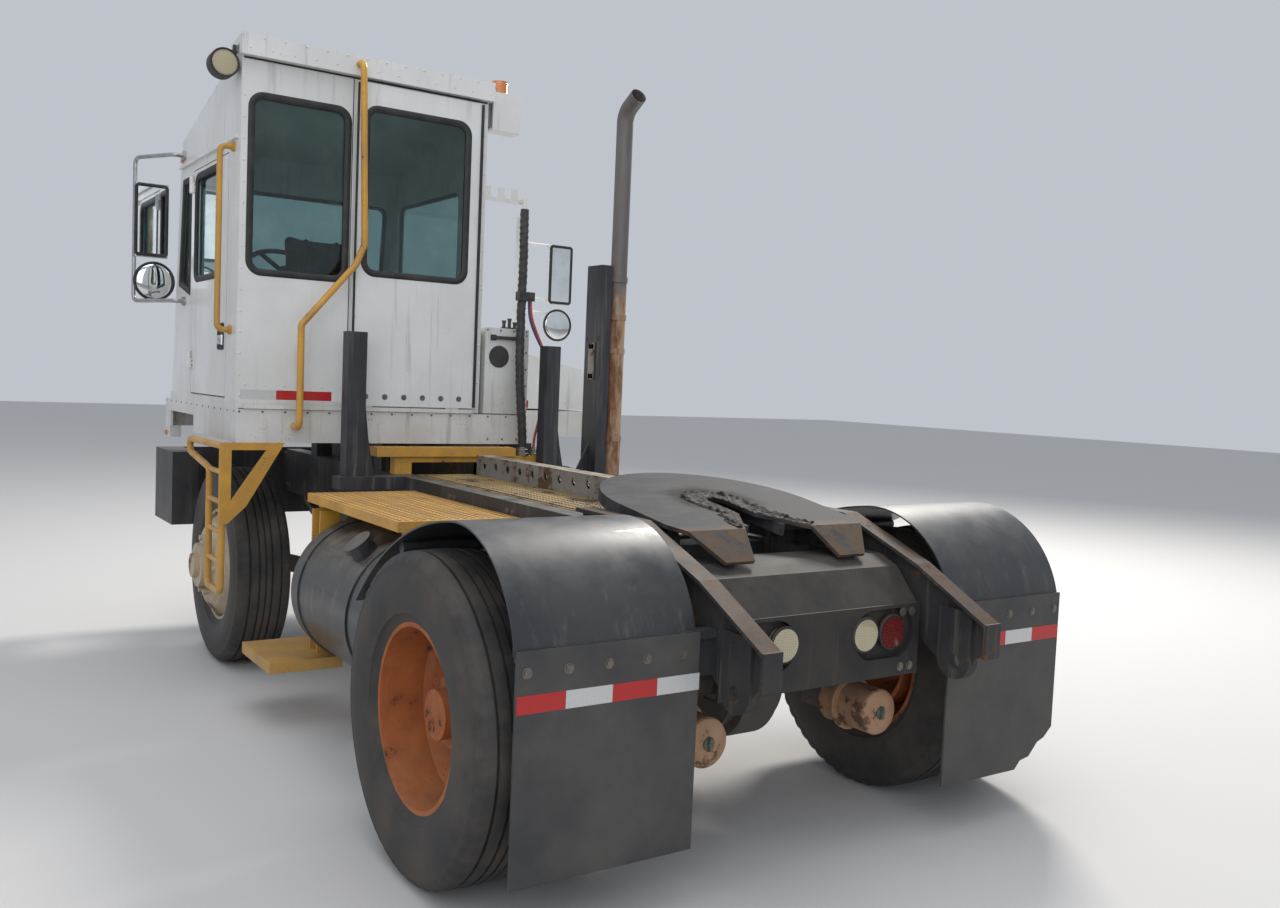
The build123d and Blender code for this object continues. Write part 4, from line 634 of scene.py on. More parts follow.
def scatter(name, spots, tree, sizes, material, body="chassis", facings=()):
    # bakes the tree's shape on the spots, each turned the way its facing says
    mesh = bpy.data.meshes.new(name)
    mesh.from_pydata(spots, [], [])
    if facings:
        values = mesh.attributes.new("facing", "FLOAT_VECTOR", "POINT")
        for n, facing in enumerate(facings):
            values.data[n].vector = facing.normalized()
    piece = link(name, mesh)
    modifier = piece.modifiers.new("pattern", "NODES")
    modifier.node_group = tree
    given = {**sizes, "Material": material}
    for item in tree.interface.items_tree:
        if item.in_out == "INPUT" and item.name in given:
            modifier[item.identifier] = given[item.name]
    bpy.context.view_layer.update()
    baked = bpy.data.meshes.new_from_object(piece.evaluated_get(bpy.context.evaluated_depsgraph_get()))
    piece.modifiers.clear()
    piece.data = baked
    baked.name = name
    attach(piece, body)
    return piece


def facingTurn(g):
    # a rotation that turns each shape the way its point's attribute says
    facing = g.node("GeometryNodeInputNamedAttribute", {"Name": "facing"}, data_type="FLOAT_VECTOR")
    return g.node("FunctionNodeAlignRotationToVector", {"Vector": facing.outputs[0]}, axis="Z").outputs[0]


def makeRivetTree():
    g, s = startGeometry("rivetHeads", {"Radius": 0.006, "Height": 0.003})
    ball = g.node("GeometryNodeMeshUVSphere", {"Segments": 8, "Rings": 5, "Radius": s["Radius"]})
    squat = g.node("ShaderNodeCombineXYZ", {0: 1, 1: 1, 2: g.calc("DIVIDE", s["Height"], s["Radius"])})
    low = g.node("GeometryNodeTransform", {"Geometry": ball.outputs[0], "Scale": squat.outputs[0]})
    head = g.node("GeometryNodeSetShadeSmooth", {"Geometry": low.outputs[0]})
    return endGeometry(g, s, head.outputs[0], Rotation=facingTurn(g))


def makeBoltTree():
    # a six-sided head on a round washer
    g, s = startGeometry("boltHeads", {"Radius": 0.006, "Height": 0.003})
    head = g.node("GeometryNodeMeshCylinder", {"Vertices": 6, "Radius": s["Radius"], "Depth": s["Height"]})
    wide = g.calc("MULTIPLY", s["Radius"], 1.45, clamp=False)
    thin = g.times(s["Height"], 0.35)
    washer = g.node("GeometryNodeMeshCylinder", {"Vertices": 12, "Radius": wide, "Depth": thin})
    both = g.node("GeometryNodeJoinGeometry", {0: head.outputs[0]})
    g.feed(both.inputs[0], washer.outputs[0])
    return endGeometry(g, s, both.outputs[0], Rotation=facingTurn(g))


rivetTree = makeRivetTree()
boltTree = makeBoltTree()


def studRows(*stretches):
    # evenly spaced spots; each stretch holds start, end, count and the way its heads face
    spots = []
    for start, end, count, facing in stretches:
        a, b = Vector(start), Vector(end)
        spots += [(a.lerp(b, n / max(1, count - 1)), Vector(facing)) for n in range(count)]
    return spots


def addStuds(name, spots, size, tree, material, body="chassis"):
    sizes = {"Radius": size[0] / 1000, "Height": size[1] / 1000}
    places = [at(*spot) for spot, facing in spots]
    return scatter(name, places, tree, sizes, material, body, [facing for spot, facing in spots])


# shared sizes of the cab, as in the frame
cab = {"rear": 2235, "left": 1173, "right": -69, "floor": 1400, "sideTop": 2600, "frontFoot": 3560,
       "frontHead": 3430, "doorFace": 2205}


def frontX(z):
    share = (z - cab["floor"]) / (cab["sideTop"] - cab["floor"])
    return cab["frontFoot"] + (cab["frontHead"] - cab["frontFoot"]) * share


# window gaskets
gasket = {"inside": 20, "outside": 13, "proud": 6, "depth": 13}


def gasketSection():
    inner, outer, lift, deep = gasket["inside"], gasket["outside"], gasket["proud"], gasket["depth"]
    return [(-inner, -deep), (-inner, -2), (-inner * 0.55, lift * 0.7), (-1, lift), (outer * 0.7, lift * 0.6),
            (outer, 0), (outer, -1), (0, -1), (0, -deep)]


def makeGaskets():
    section = gasketSection()
    bm = bmesh.new()
    addRing(bm, roundedRectangle(665, 1130, 1990, 2805, 60), section, facingBack(cab["rear"]))
    addRing(bm, roundedRectangle(2480, 3330, 1960, 2540, 60), section,
            lambda a, b, height: (a, cab["right"] - height, b))
    addRing(bm, roundedRectangle(1, 1103, 1900, 2540, 60), section,
            lambda a, b, height: (frontX(b) + height, a, b))
    quarter = [(3180, 1930), (frontX(1930) - 85, 1985), (frontX(2530) - 85, 2530), (3180, 2530)]
    addRing(bm, quarter, section, facingLeft(cab["left"]))
    addPiece("window_gaskets", bm, sealRubber)
    bm = bmesh.new()
    addRing(bm, roundedRectangle(45, 590, 2030, 2830, 60), section, facingBack(cab["doorFace"]))
    addBox(bm, 2198, 2206, -31, -17, 1390, 2940)  # edge seals of the sliding door
    addBox(bm, 2199, 2206, 628, 638, 1392, 2938)
    addPiece("rear_door_seals", bm, sealRubber, "back_door")
    bm = bmesh.new()
    addRing(bm, roundedRectangle(2580, 3080, 1990, 2525, 50), section, facingLeft(cab["left"]))
    addPiece("driver_door_seals", bm, sealRubber, "left_door")


makeGaskets()
print("gaskets made")


# tyres: across and radius of one half's side and tread
tyre = {"radius": 510, "segments": 168, "notches": 56, "notchDepth": 7, "frontX": 2963,
        "frontTrack": [950], "rearTrack": [787, 1105]}
tyreSide = [(106, 290), (112, 300), (122, 316), (127, 318), (128, 324), (132, 340), (136.5, 362),
            (139.4, 392), (139, 424), (135.5, 450), (131, 468), (132, 472), (127, 484), (119, 495)]
tyreTread = [(111, 502), (104, 505.5), (82, 507.5), (81, 496), (73, 496), (72, 508), (36, 509.4), (35, 497),
             (27, 497), (26, 509.6), (4.5, 510), (4, 499)]


def makeTyre(bm, x, y):
    half = tyreSide + tyreTread
    profile = [(-a, r) for a, r in half] + [(a, r) for a, r in reversed(half)]
    count = tyre["segments"]
    perNotch = count // tyre["notches"]
    rings = []
    for n in range(count):
        angle = 2 * math.pi * n / count
        ring = []
        for across, radius in profile:
            out = abs(across)
            if 100 < out < 132 and radius > 470 and n % perNotch == 0:
                radius -= tyre["notchDepth"]
            if 25 < out < 37 and radius > 505 and n % perNotch == 1:
                across *= 1.06
            high = tyre["radius"] + radius * math.sin(angle)
            ring.append(bm.verts.new((x + radius * math.cos(angle), y + across, high)))
        rings.append(ring)
    for n in range(count):
        bridge(bm, rings[n], rings[(n + 1) % count])


def makeTyres():
    for end, kind, carrier, x, track in (
        ("front", "tyre", "wheel", tyre["frontX"], tyre["frontTrack"]),
        ("rear", "tyres", "wheels", 0, tyre["rearTrack"]),
    ):
        for side, sign in (("left", 1), ("right", -1)):
            bm = bmesh.new()
            for y in track:
                makeTyre(bm, x, sign * y)
            name = end + "_" + kind + "_" + side
            piece = addPiece(name + "_tread", bm, tyreRubber, end + "_" + side + "_" + carrier, 50)
            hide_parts(name)


makeTyres()
print("tyres made")


# reflective tape
tape = {"height": 50.8, "thick": 0.6, "segment": 152.4, "flapX": -553, "flapY": 1159, "flapTop": 709}


def makeTape():
    red, silver, hood = bmesh.new(), bmesh.new(), bmesh.new()
    x, top, thick = tape["flapX"], tape["flapTop"], tape["thick"]
    for side in (-1, 1):
        for n in range(4):
            outer = side * (tape["flapY"] - n * tape["segment"])
            inner = side * (tape["flapY"] - (n + 1) * tape["segment"] + 0.5)
            target = red if n % 2 == 0 else silver
            addBox(target, x - thick, x + 1, min(outer, inner), max(outer, inner), top - tape["height"], top)
    back = cab["rear"]
    addBox(silver, back - thick, back + 1, 987, 1153, 1403, 1447)
    addBox(red, back - thick, back + 1, 720, 987, 1403, 1447)
    addBox(hood, 2960 - thick, 2961, -760, -460, 1376, 1420)
    addPiece("tape_red", red, tapeRed)
    addPiece("tape_silver", silver, tapeSilver)
    addPiece("hood_tape", hood, tapeRed, "hood")


makeTape()
print("tape made")


# rivets and bolts: radius and height of each kind of head
heads = {"rivet": (6, 2.6), "doorRivet": (4.5, 2), "frameBolt": (11, 9), "hingeBolt": (6, 4),
         "footBolt": (10, 7)}


def makeStuds():
    back, left, right = cab["rear"], cab["left"], cab["right"]
    rear, leftward, rightward = (-1, 0, 0), (0, 1, 0), (0, -1, 0)
    spots = studRows(
        ((back, left - 14, 1420), (back, left - 14, 2990), 17, rear),
        ((back, right + 12, 1420), (back, right + 12, 2990), 17, rear),
        ((back, 680, 1470), (back, left - 40, 1470), 6, rear),
        ((2190, 1186, 3048), (2190, -82, 3048), 14, (-0.1, 0, 1)),
        ((back - 45, 1150, 2998), (back - 45, -60, 2998), 13, rear),
        ((back + 16, left, 1420), (back + 16, left, 2590), 13, leftward),
        ((2300, left + 14, 2610), (3400, left + 14, 2610), 12, leftward),
        ((2300, right - 14, 2610), (3400, right - 14, 2610), 12, rightward),
        ((back + 16, right, 1900), (back + 16, right, 2590), 8, rightward),
        ((frontX(1450), 1150, 1450), (frontX(2560), 1150, 2560), 12, (1, 0, 0.1)),
        ((frontX(1450), -46, 1450), (frontX(2560), -46, 2560), 12, (1, 0, 0.1)),
    )
    addStuds("cab_rivets", spots, heads["rivet"], rivetTree, cabWhite)
    skirt = back - 17
    spots = studRows(
        ((skirt, 1160, 1345), (skirt, -330, 1345), 15, rear),
        ((skirt, -330, 1800), (skirt, -100, 1800), 4, rear),
        ((skirt, -332, 1420), (skirt, -332, 1780), 5, rear),
        ((2260, left, 1345), (3690, left, 1345), 13, leftward),
        ((skirt, -290, 1226), (skirt, -120, 1226), 3, rear),
    )
    addStuds("base_rivets", spots, heads["rivet"], rivetTree, boltSteel)
    spots = studRows(
        ((3000, -100, 1400), (3760, -100, 1400), 8, leftward),
        ((3000, -1173, 1400), (3760, -1173, 1400), 8, rightward),
        ((2960, -130, 1410), (2960, -1150, 1410), 9, rear),
    )
    addStuds("hood_rivets", spots, heads["rivet"], rivetTree, cabWhite, "hood")
    # frame, crossmember and spring bolts
    spots = []
    for sign in (-1, 1):
        rail, face = sign * 430, (0, sign, 0)
        for station in (900, 1450, 2180, 3820):
            for z in (840, 1010):
                spots += studRows(((station - 25, rail, z), (station + 25, rail, z), 2, face))
        spots += studRows(((430, rail, 850), (490, rail, 850), 2, face),
                          ((2400, rail, 870), (3500, rail, 870), 6, face))
    # bolts of the flap bars and the apron
    for sign in (-1, 1):
        spots += studRows(((-553, sign * 610, 770), (-553, sign * 1130, 770), 5, rear))
    for y in (-400, -355, 355, 400):
        spots += studRows(((-508, y, 620), (-508, y, 810), 2, rear))
    addStuds("frame_bolts", spots, heads["frameBolt"], boltTree, boltSteel)
    # door fittings
    face = cab["doorFace"]
    spots = studRows(((face, 620, 1410), (face, 620, 2920), 12, rear),
                     ((face, -8, 1410), (face, -8, 2920), 12, rear))
    addStuds("rear_door_rivets", spots, heads["doorRivet"], rivetTree, cabWhite, "back_door")
    spots = []
    for z in (1560, 2470):
        spots += studRows(((3080, 1178, z - 12), (3080, 1178, z + 12), 2, leftward))
    addStuds("driver_door_bolts", spots, heads["hingeBolt"], boltTree, boltSteel, "left_door")


makeStuds()
print("rivets and bolts made")


# grip pattern of the decks: raised rims round oval holes, the holes drawn as flat discs in painted shade;
# long, wide and rim are in metres
grip = {"long": 0.0155, "wide": 0.0112, "rim": 0.0015, "pitch": 36, "rowGap": 32}
stepDeck = {"from": 812, "to": 1835, "right": 435, "plank": 103, "planks": 5, "top": 1000}
rearDeck = {"rows": (2133, 2159, 2185), "right": -215, "across": 21, "top": 1187}
# serrated top of the boom's walkway
teeth = {"long": 0.0105, "wide": 0.017, "rim": 0.0015, "pitch": 26, "count": 57, "from": 580, "right": 35,
         "wideAll": 295, "strips": 7, "top": 1055}


def ovalSize(g, s):
    return g.node("ShaderNodeCombineXYZ", {0: s["Long"], 1: s["Wide"], 2: 1}).outputs[0]


def makeRimTree():
    g, s = startGeometry("gripRims", {"Long": 0.012, "Wide": 0.008, "Rim": 0.002})
    circle = g.node("GeometryNodeCurvePrimitiveCircle", {"Resolution": 10, "Radius": 1})
    oval = g.node("GeometryNodeTransform", {"Geometry": circle.outputs[0], "Scale": ovalSize(g, s)})
    section = g.node("GeometryNodeCurvePrimitiveCircle", {"Resolution": 4, "Radius": s["Rim"]})
    rim = g.node("GeometryNodeCurveToMesh", {"Curve": oval.outputs[0], "Profile Curve": section.outputs[0]})
    return endGeometry(g, s, rim.outputs[0])


def makeHoleTree():
    # flat discs that stand for the holes, finished in painted shade
    g, s = startGeometry("gripHoles", {"Long": 0.011, "Wide": 0.007})
    disc = g.node("GeometryNodeMeshCylinder", {"Vertices": 10, "Radius": 1, "Depth": 0.0012})
    return endGeometry(g, s, disc.outputs[0], Scale=ovalSize(g, s))


def stepSpots():
    # three rows on each plank, every other row shifted by a quarter of the pitch
    start, long = stepDeck["from"], stepDeck["to"] - stepDeck["from"]
    count = int(long / grip["pitch"])
    spots = []
    for n in range(stepDeck["planks"] * 3):
        plank, place = divmod(n, 3)
        y = stepDeck["right"] + (plank + 0.5) * stepDeck["plank"] + (place - 1) * grip["rowGap"]
        for k in range(count):
            spots.append(at(start + (k + 0.5 + 0.25 * (n % 2)) * long / count, y, stepDeck["top"]))
    return spots


def rearSpots():
    return [at(x, rearDeck["right"] + n * grip["pitch"], rearDeck["top"])
            for x in rearDeck["rows"] for n in range(rearDeck["across"])]


def walkwaySpots():
    lines = [teeth["right"] + n * teeth["wideAll"] / teeth["strips"] for n in range(1, teeth["strips"])]
    return [at(teeth["from"] + n * teeth["pitch"], y, teeth["top"])
            for y in lines for n in range(teeth["count"])]


def makeGrip():
    rims, holes = makeRimTree(), makeHoleTree()
    sizes = {"Long": grip["long"], "Wide": grip["wide"], "Rim": grip["rim"]}
    inner = {"Long": grip["long"] * 0.92, "Wide": grip["wide"] * 0.9}
    for name, spots in (("step_grip", stepSpots()), ("rear_deck_grip", rearSpots())):
        scatter(name, spots, rims, sizes, safetyYellow)
        scatter(name + "_holes", spots, holes, inner, holeShadePaint)
    sizes = {"Long": teeth["long"], "Wide": teeth["wide"], "Rim": teeth["rim"]}
    inner = {"Long": teeth["long"] - 0.001, "Wide": teeth["wide"] - 0.0015}
    scatter("walkway_teeth", walkwaySpots(), rims, sizes, walkwayOchre, "boom")
    scatter("walkway_holes", walkwaySpots(), holes, inner, holeShadePaint, "boom")


makeGrip()
print("grip patterns made")


# grease on the coupler plate: a raised ragged ring round the throat and a thin layer inside it
grease = {"ring": 84, "tail": 26, "ringWidth": 13, "ringHeight": 9, "layer": 3.4, "step": 5, "seed": 4.0}
plate = {"pivotX": 40, "pivotZ": 1022, "pitch": 8.5, "top": 104, "throat": 36, "throatEnd": 75,
         "mouth": -100, "mouthLong": 180, "mouthFlare": 114}


def throatDistance(x, y):
    # distance outside the kingpin throat, negative inside it
    half, end, mouth = plate["throat"], plate["throatEnd"], plate["mouth"]
    if x > end:
        return math.hypot(x - end, y) - half
    if x < mouth:
        spread = half + (mouth - x) * plate["mouthFlare"] / plate["mouthLong"]
        return (abs(y) - spread) * 0.84
    return abs(y) - half


def greaseLift(x, y):
    away = throatDistance(x, y)
    share = max(0.0, min(1.0, (x + 250) / 230))
    middle = grease["tail"] + (grease["ring"] - grease["tail"]) * share
    middle += noise.fractal(Vector((x / 70, y / 70, grease["seed"])), 1.0, 2.0, 4) * 16
    rough = noise.fractal(Vector((x / 15, y / 15, grease["seed"] + 3)), 1.0, 2.1, 5)
    ring = math.exp(-((away - middle) / grease["ringWidth"]) ** 2)
    inside = max(0.0, min(1.0, (middle - away) / 22))
    ridge = ring * grease["ringHeight"] * (0.85 + 0.9 * rough)
    return -2.0 + ridge + inside * (grease["layer"] + 3.5 * rough)


def makeGrease():
    bm = bmesh.new()
    step = grease["step"]
    place = (Matrix.Translation((plate["pivotX"], 0, plate["pivotZ"]))
             @ Matrix.Rotation(math.radians(-plate["pitch"]), 4, "Y"))
    made = {}
    for i in range(-54, 48):
        for k in range(-34, 34):
            cell = [(i, k), (i + 1, k), (i + 1, k + 1), (i, k + 1)]
            if min(throatDistance(a * step, b * step) for a, b in cell) < 1.5:
                continue
            lifts = [greaseLift(a * step, b * step) for a, b in cell]
            if max(lifts) < -1.4:
                continue
            for corner, lift in zip(cell, lifts):
                if corner not in made:
                    spot = Vector((corner[0] * step, corner[1] * step, plate["top"] + lift))
                    made[corner] = bm.verts.new(place @ spot)
            bm.faces.new([made[corner] for corner in cell])
    addPiece("coupler_grease", bm, thickGrease, "coupler", 60, False)


makeGrease()
print("grease made")


# air hoses, with the same points as the frame's route, in metres from the middle
bundlePoints = [
    (0.603, -0.276, 2.440), (0.603, -0.276, 2.385), (0.597, -0.274, 2.328), (0.590, -0.270, 2.268),
    (0.586, -0.271, 2.208), (0.581, -0.266, 2.146), (0.580, -0.267, 2.084), (0.577, -0.262, 2.022),
    (0.577, -0.264, 1.960), (0.573, -0.258, 1.898), (0.573, -0.261, 1.836), (0.569, -0.256, 1.774),
    (0.570, -0.260, 1.712), (0.566, -0.257, 1.650), (0.567, -0.263, 1.588), (0.564, -0.262, 1.526),
    (0.565, -0.270, 1.464), (0.562, -0.272, 1.402), (0.563, -0.281, 1.342), (0.564, -0.285, 1.282),
    (0.567, -0.292, 1.222), (0.567, -0.292, 1.143),
]
redPoints = [
    (0.557, -0.306, 1.960), (0.557, -0.306, 1.925), (0.551, -0.312, 1.872), (0.545, -0.330, 1.820),
    (0.539, -0.352, 1.768), (0.533, -0.376, 1.716), (0.529, -0.392, 1.660), (0.527, -0.404, 1.604),
    (0.528, -0.408, 1.548), (0.531, -0.404, 1.492), (0.535, -0.396, 1.436), (0.541, -0.386, 1.382),
    (0.547, -0.374, 1.330), (0.552, -0.363, 1.278), (0.555, -0.352, 1.222), (0.555, -0.352, 1.143),
]
bluePoints = [
    (0.581, -0.310, 1.960), (0.581, -0.310, 1.915), (0.577, -0.318, 1.862), (0.571, -0.338, 1.806),
    (0.565, -0.366, 1.752), (0.559, -0.396, 1.700), (0.557, -0.422, 1.646), (0.558, -0.438, 1.590),
    (0.561, -0.448, 1.532), (0.565, -0.446, 1.472), (0.571, -0.440, 1.412), (0.575, -0.426, 1.354),
    (0.581, -0.412, 1.296), (0.585, -0.400, 1.240), (0.585, -0.400, 1.143),
]


def routeCurve(name, points, radius):
    curve = bpy.data.curves.new(name, "CURVE")
    curve.dimensions = "3D"
    curve.resolution_u = 10
    spline = curve.splines.new("NURBS")
    spline.points.add(len(points) - 1)
    for point, place in zip(spline.points, points):
        point.co = (*place, 1)
    spline.order_u = 3
    spline.use_endpoint_u = True
    curve.bevel_depth = radius
    curve.bevel_resolution = 4
    curve.use_fill_caps = True
    return curve


def routeLine(points):
    # the smooth line that the curve follows, as a list of points
    bare = bpy.data.objects.new("route", routeCurve("route", points, 0))
    bare.data.use_fill_caps = False
    mesh = bpy.data.meshes.new_from_object(bare)
    line = [vertex.co.copy() for vertex in mesh.vertices]
    bpy.data.objects.remove(bare)
    return line


def lineLength(line):
    return sum((b - a).length for a, b in zip(line, line[1:]))


def addHose(name, points, radius, material, node, **facts):
    curve = routeCurve(name, points, radius)
    curve.materials.append(material)
    hose = link(name, curve)
    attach(hose, "chassis")
    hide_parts(node)
    round(lineLength(routeLine(points)), 3)
    return hose


hoseRadius = {"bundle": 0.022, "air": 0.007}
wrap = {"pitch": 0.034, "band": 0.013, "thick": 0.0032}


def makeWrap(points, radius):
    # plastic spiral wound round the bundle
    line = routeLine(points)
    total = lineLength(line)
    steps = int(total / wrap["pitch"] * 14)
    half, thick = wrap["band"] / 2, wrap["thick"]
    bm = bmesh.new()
    previous = None
    reach = 0.0
    index = 0
    for n in range(steps + 1):
        goal = 0.02 + (total - 0.04) * n / steps
        while index < len(line) - 2 and reach + (line[index + 1] - line[index]).length < goal:
            reach += (line[index + 1] - line[index]).length
            index += 1
        a, b = line[index], line[index + 1]
        along = (b - a).normalized()
        middle = a + along * (goal - reach)
        side = along.cross(Vector((0, 1, 0))).normalized()
        up = along.cross(side)
        angle = 2 * math.pi * goal / wrap["pitch"]
        out = side * math.cos(angle) + up * math.sin(angle)
        ring = []
        for slide, lift in ((-half, 0), (-half, thick), (half, thick), (half, 0)):
            spot = middle + out * (radius - 0.001 + lift) + along * slide
            ring.append(bm.verts.new(spot * 1000 + Vector((originX, 0, 0))))
        if previous:
            bridge(bm, previous, ring)
        else:
            bm.faces.new(ring[::-1])
        previous = ring
    bm.faces.new(previous)
    return addPiece("bundle_wrap", bm, hoseBlack)


def makeFittings():
    # hex fittings where the three hoses meet the rear deck's beam
    bm = bmesh.new()
    for x, y, radius in ((2150, -292, 30), (2138, -352, 13), (2168, -400, 13)):
        profile = [(radius * 1.2, 0), (radius * 1.2, 14), (radius, 16), (radius, 34), (radius * 0.86, 38),
                   (radius * 0.86, 48)]
        addTurned(bm, (x, y, 1143), (0, 0, 1), profile, 6)
    return addPiece("hose_fittings", bm, boltSteel, smooth=20)


fittings = makeFittings()
spiral = makeWrap(bundlePoints, hoseRadius["bundle"])
addHose("hose_bundle_smooth", bundlePoints, hoseRadius["bundle"], hoseBlack, "hose_bundle",
        stiffness="stiff", lay="hanging", with_pieces=[spiral, nodes["hose_gland"], fittings])
addHose("air_hose_red_smooth", redPoints, hoseRadius["air"], hoseRed, "air_hose_red", stiffness="stiff",
        lay="hanging")
addHose("air_hose_blue_smooth", bluePoints, hoseRadius["air"], hoseBlue, "air_hose_blue", stiffness="stiff",
        lay="hanging")
print("hoses made")


# mirrors: silvered faces over the heads, each in a black rim; flat head x, y and low edge, then the round one
mirrors = {"left": ("chassis", 3554, 1296, 2130, (3558, 1277, 2000)),
           "right": ("hood", 3552, -1296, 2060, (3528, -1270, 1920)), "roundRadius": 98, "dome": 17}


def makeMirrors():
    radius = mirrors["roundRadius"]
    for side in ("left", "right"):
        body, x, y, low, (roundX, roundY, roundZ) = mirrors[side]
        flat = roundedRectangle(y - 78, y + 78, low + 13, low + 387, 13)
        bm = bmesh.new()
        addRing(bm, flat, [(-8, 0), (-8, 4), (0, 6), (9, 4), (9, -8), (7, -8), (7, 0)], facingBack(x))
        addRing(bm, circlePath(roundY, roundZ, radius + 1, 40),
                [(-2, 0), (-2, 8), (4, 9), (9, 5), (9, -4), (7, -4), (7, 0)], facingBack(roundX))
        addPiece("mirror_rims_" + side, bm, sealRubber, body, 50)
        bm = bmesh.new()
        face = [bm.verts.new((x - 2, a, b)) for a, b in flat]
        back = [bm.verts.new((x + 2, a, b)) for a, b in flat]
        bm.faces.new(face)
        bm.faces.new(back[::-1])
        bridge(bm, back, face)
        turns = [n / 9 * math.pi / 2 for n in range(1, 9)]
        dome = [(radius * math.cos(turn), 1 + mirrors["dome"] * math.sin(turn)) for turn in turns]
        addTurned(bm, (roundX, roundY, roundZ), (-1, 0, 0), [(radius, 1)] + dome, 40)
        addPiece("mirror_glass_" + side, bm, mirrorSilver, body, 50)


makeMirrors()
print("mirrors made")


# seat: two stuffed pads over the plain solids, in millimetres, with the swelling in metres
seat = {"voxel": 0.006, "pressure": 4.0, "frames": 20, "cap": 0.018, "fill": 0.7, "seams": [0.640, 0.800],
        "pad": [(2536, 526, 1716), (2976, 526, 1716), (2976, 914, 1716), (2536, 914, 1716),
                (2540, 530, 1788), (2972, 530, 1788), (2972, 910, 1788), (2540, 910, 1788)],
        "back": [(2424, 536, 2206), (2478, 536, 2190), (2478, 904, 2190), (2424, 904, 2206),
                 (2494, 536, 1826), (2508, 536, 1826), (2508, 904, 1826), (2494, 904, 1826)]}


def shownMesh(piece):
    # the piece's mesh with its modifiers applied
    return bpy.data.meshes.new_from_object(piece.evaluated_get(bpy.context.evaluated_depsgraph_get()))


def swell(pad):
    # inflates the slack block as cloth, keeps the rise under the cap and pinches it at the seams
    even = pad.modifiers.new("even", "REMESH")
    even.mode = "VOXEL"
    even.voxel_size = seat["voxel"]
    pad.data = shownMesh(pad)
    pad.modifiers.clear()
    rest = [vertex.co.copy() for vertex in pad.data.vertices]
    cloth = pad.modifiers.new("swell", "CLOTH")
    cloth.settings.use_pressure = True
    cloth.settings.uniform_pressure_force = seat["pressure"]
    cloth.settings.effector_weights.gravity = 0
    cloth.point_cache.frame_start = 1
    cloth.point_cache.frame_end = seat["frames"]
    for step in range(1, seat["frames"] + 1):
        bpy.context.scene.frame_set(step)
    swollen = shownMesh(pad)
    pad.modifiers.clear()
    for vertex, start in zip(swollen.vertices, rest):
        moved = vertex.co - start
        if moved.length > seat["cap"]:
            moved *= seat["cap"] / moved.length
        seam = min(abs(start.y - y) for y in seat["seams"])
        pinch = max(0.0, 1 - seam / 0.012)
        vertex.co = start + moved * (1 - 0.75 * pinch)
    pad.data = swollen
    swollen.materials.clear()
    swollen.materials.append(seatCloth)
    for polygon in swollen.polygons:
        polygon.use_smooth = True
    bpy.context.scene.frame_set(1)


def softPad(name, corners):
    # corners: eight points of a slack block, bottom loop then top loop
    bm = bmesh.new()
    verts = [bm.verts.new(point) for point in corners]
    for loop in ((3, 2, 1, 0), (4, 5, 6, 7), (0, 1, 5, 4), (1, 2, 6, 5), (2, 3, 7, 6), (3, 0, 4, 7)):
        bm.faces.new([verts[n] for n in loop])
    bmesh.ops.bevel(bm, geom=list(bm.edges), offset=22, segments=3, profile=0.6, affect="EDGES")
    pad = addPiece(name, bm, seatCloth, smooth=180)
    swell(pad)
    finer = pad.modifiers.new("smooth", "SUBSURF")
    finer.levels = 1
    finer.render_levels = 1
    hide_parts("seat_cushions")


softPad("seat_pad", seat["pad"])
softPad("seat_back", seat["back"])
print("seat made")


# cowl: port closed by a near-black disc set back in it, painted shade in place of the dark inside, then hinge
# lever and valve fittings
cowl = {"face": 2218, "portY": -170, "portZ": 1662, "valves": ((-235, 34), (-268, 46), (-300, 28))}


def makeCowlFittings():
    face, y, z = cowl["face"], cowl["portY"], cowl["portZ"]
    bm = bmesh.new()
    # near-black disc set 24 mm back in the port: painted shade for the inside of the opening
    addTurned(bm, (face + 24, y, z), (-1, 0, 0), [(51, 0), (51, 3)], 40)
    addTurned(bm, (face + 4, y, z), (-1, 0, 0), [(58, 0), (58, 6), (54, 8), (53, 8), (53, 9)], 40)
    addBox(bm, face - 12, face - 4, -300, -120, 1752, 1770)
    addBox(bm, face - 5, face + 1, -150, -118, 1746, 1776)
    for y, high in cowl["valves"]:
        profile = [(15, 0), (15, 10), (9, 12), (9, high), (12, high + 2), (12, high + 12)]
        addTurned(bm, (2300, y, 1812), (0, 0, 1), profile, 12)
    addPiece("cowl_fittings", bm, darkPlastic)


tailLamps = {"x": -502, "z": 745, "across": (179, 306),
             "rim": [(62, 0), (62, 8), (58, 11), (54.5, 11), (54.5, 2)]}


def makeTailGrommets():
    bm = bmesh.new()
    for sign in (-1, 1):
        for y in tailLamps["across"]:
            addTurned(bm, (tailLamps["x"], sign * y, tailLamps["z"]), (-1, 0, 0), tailLamps["rim"], 40)
    addPiece("tail_lamp_grommets", bm, sealRubber)


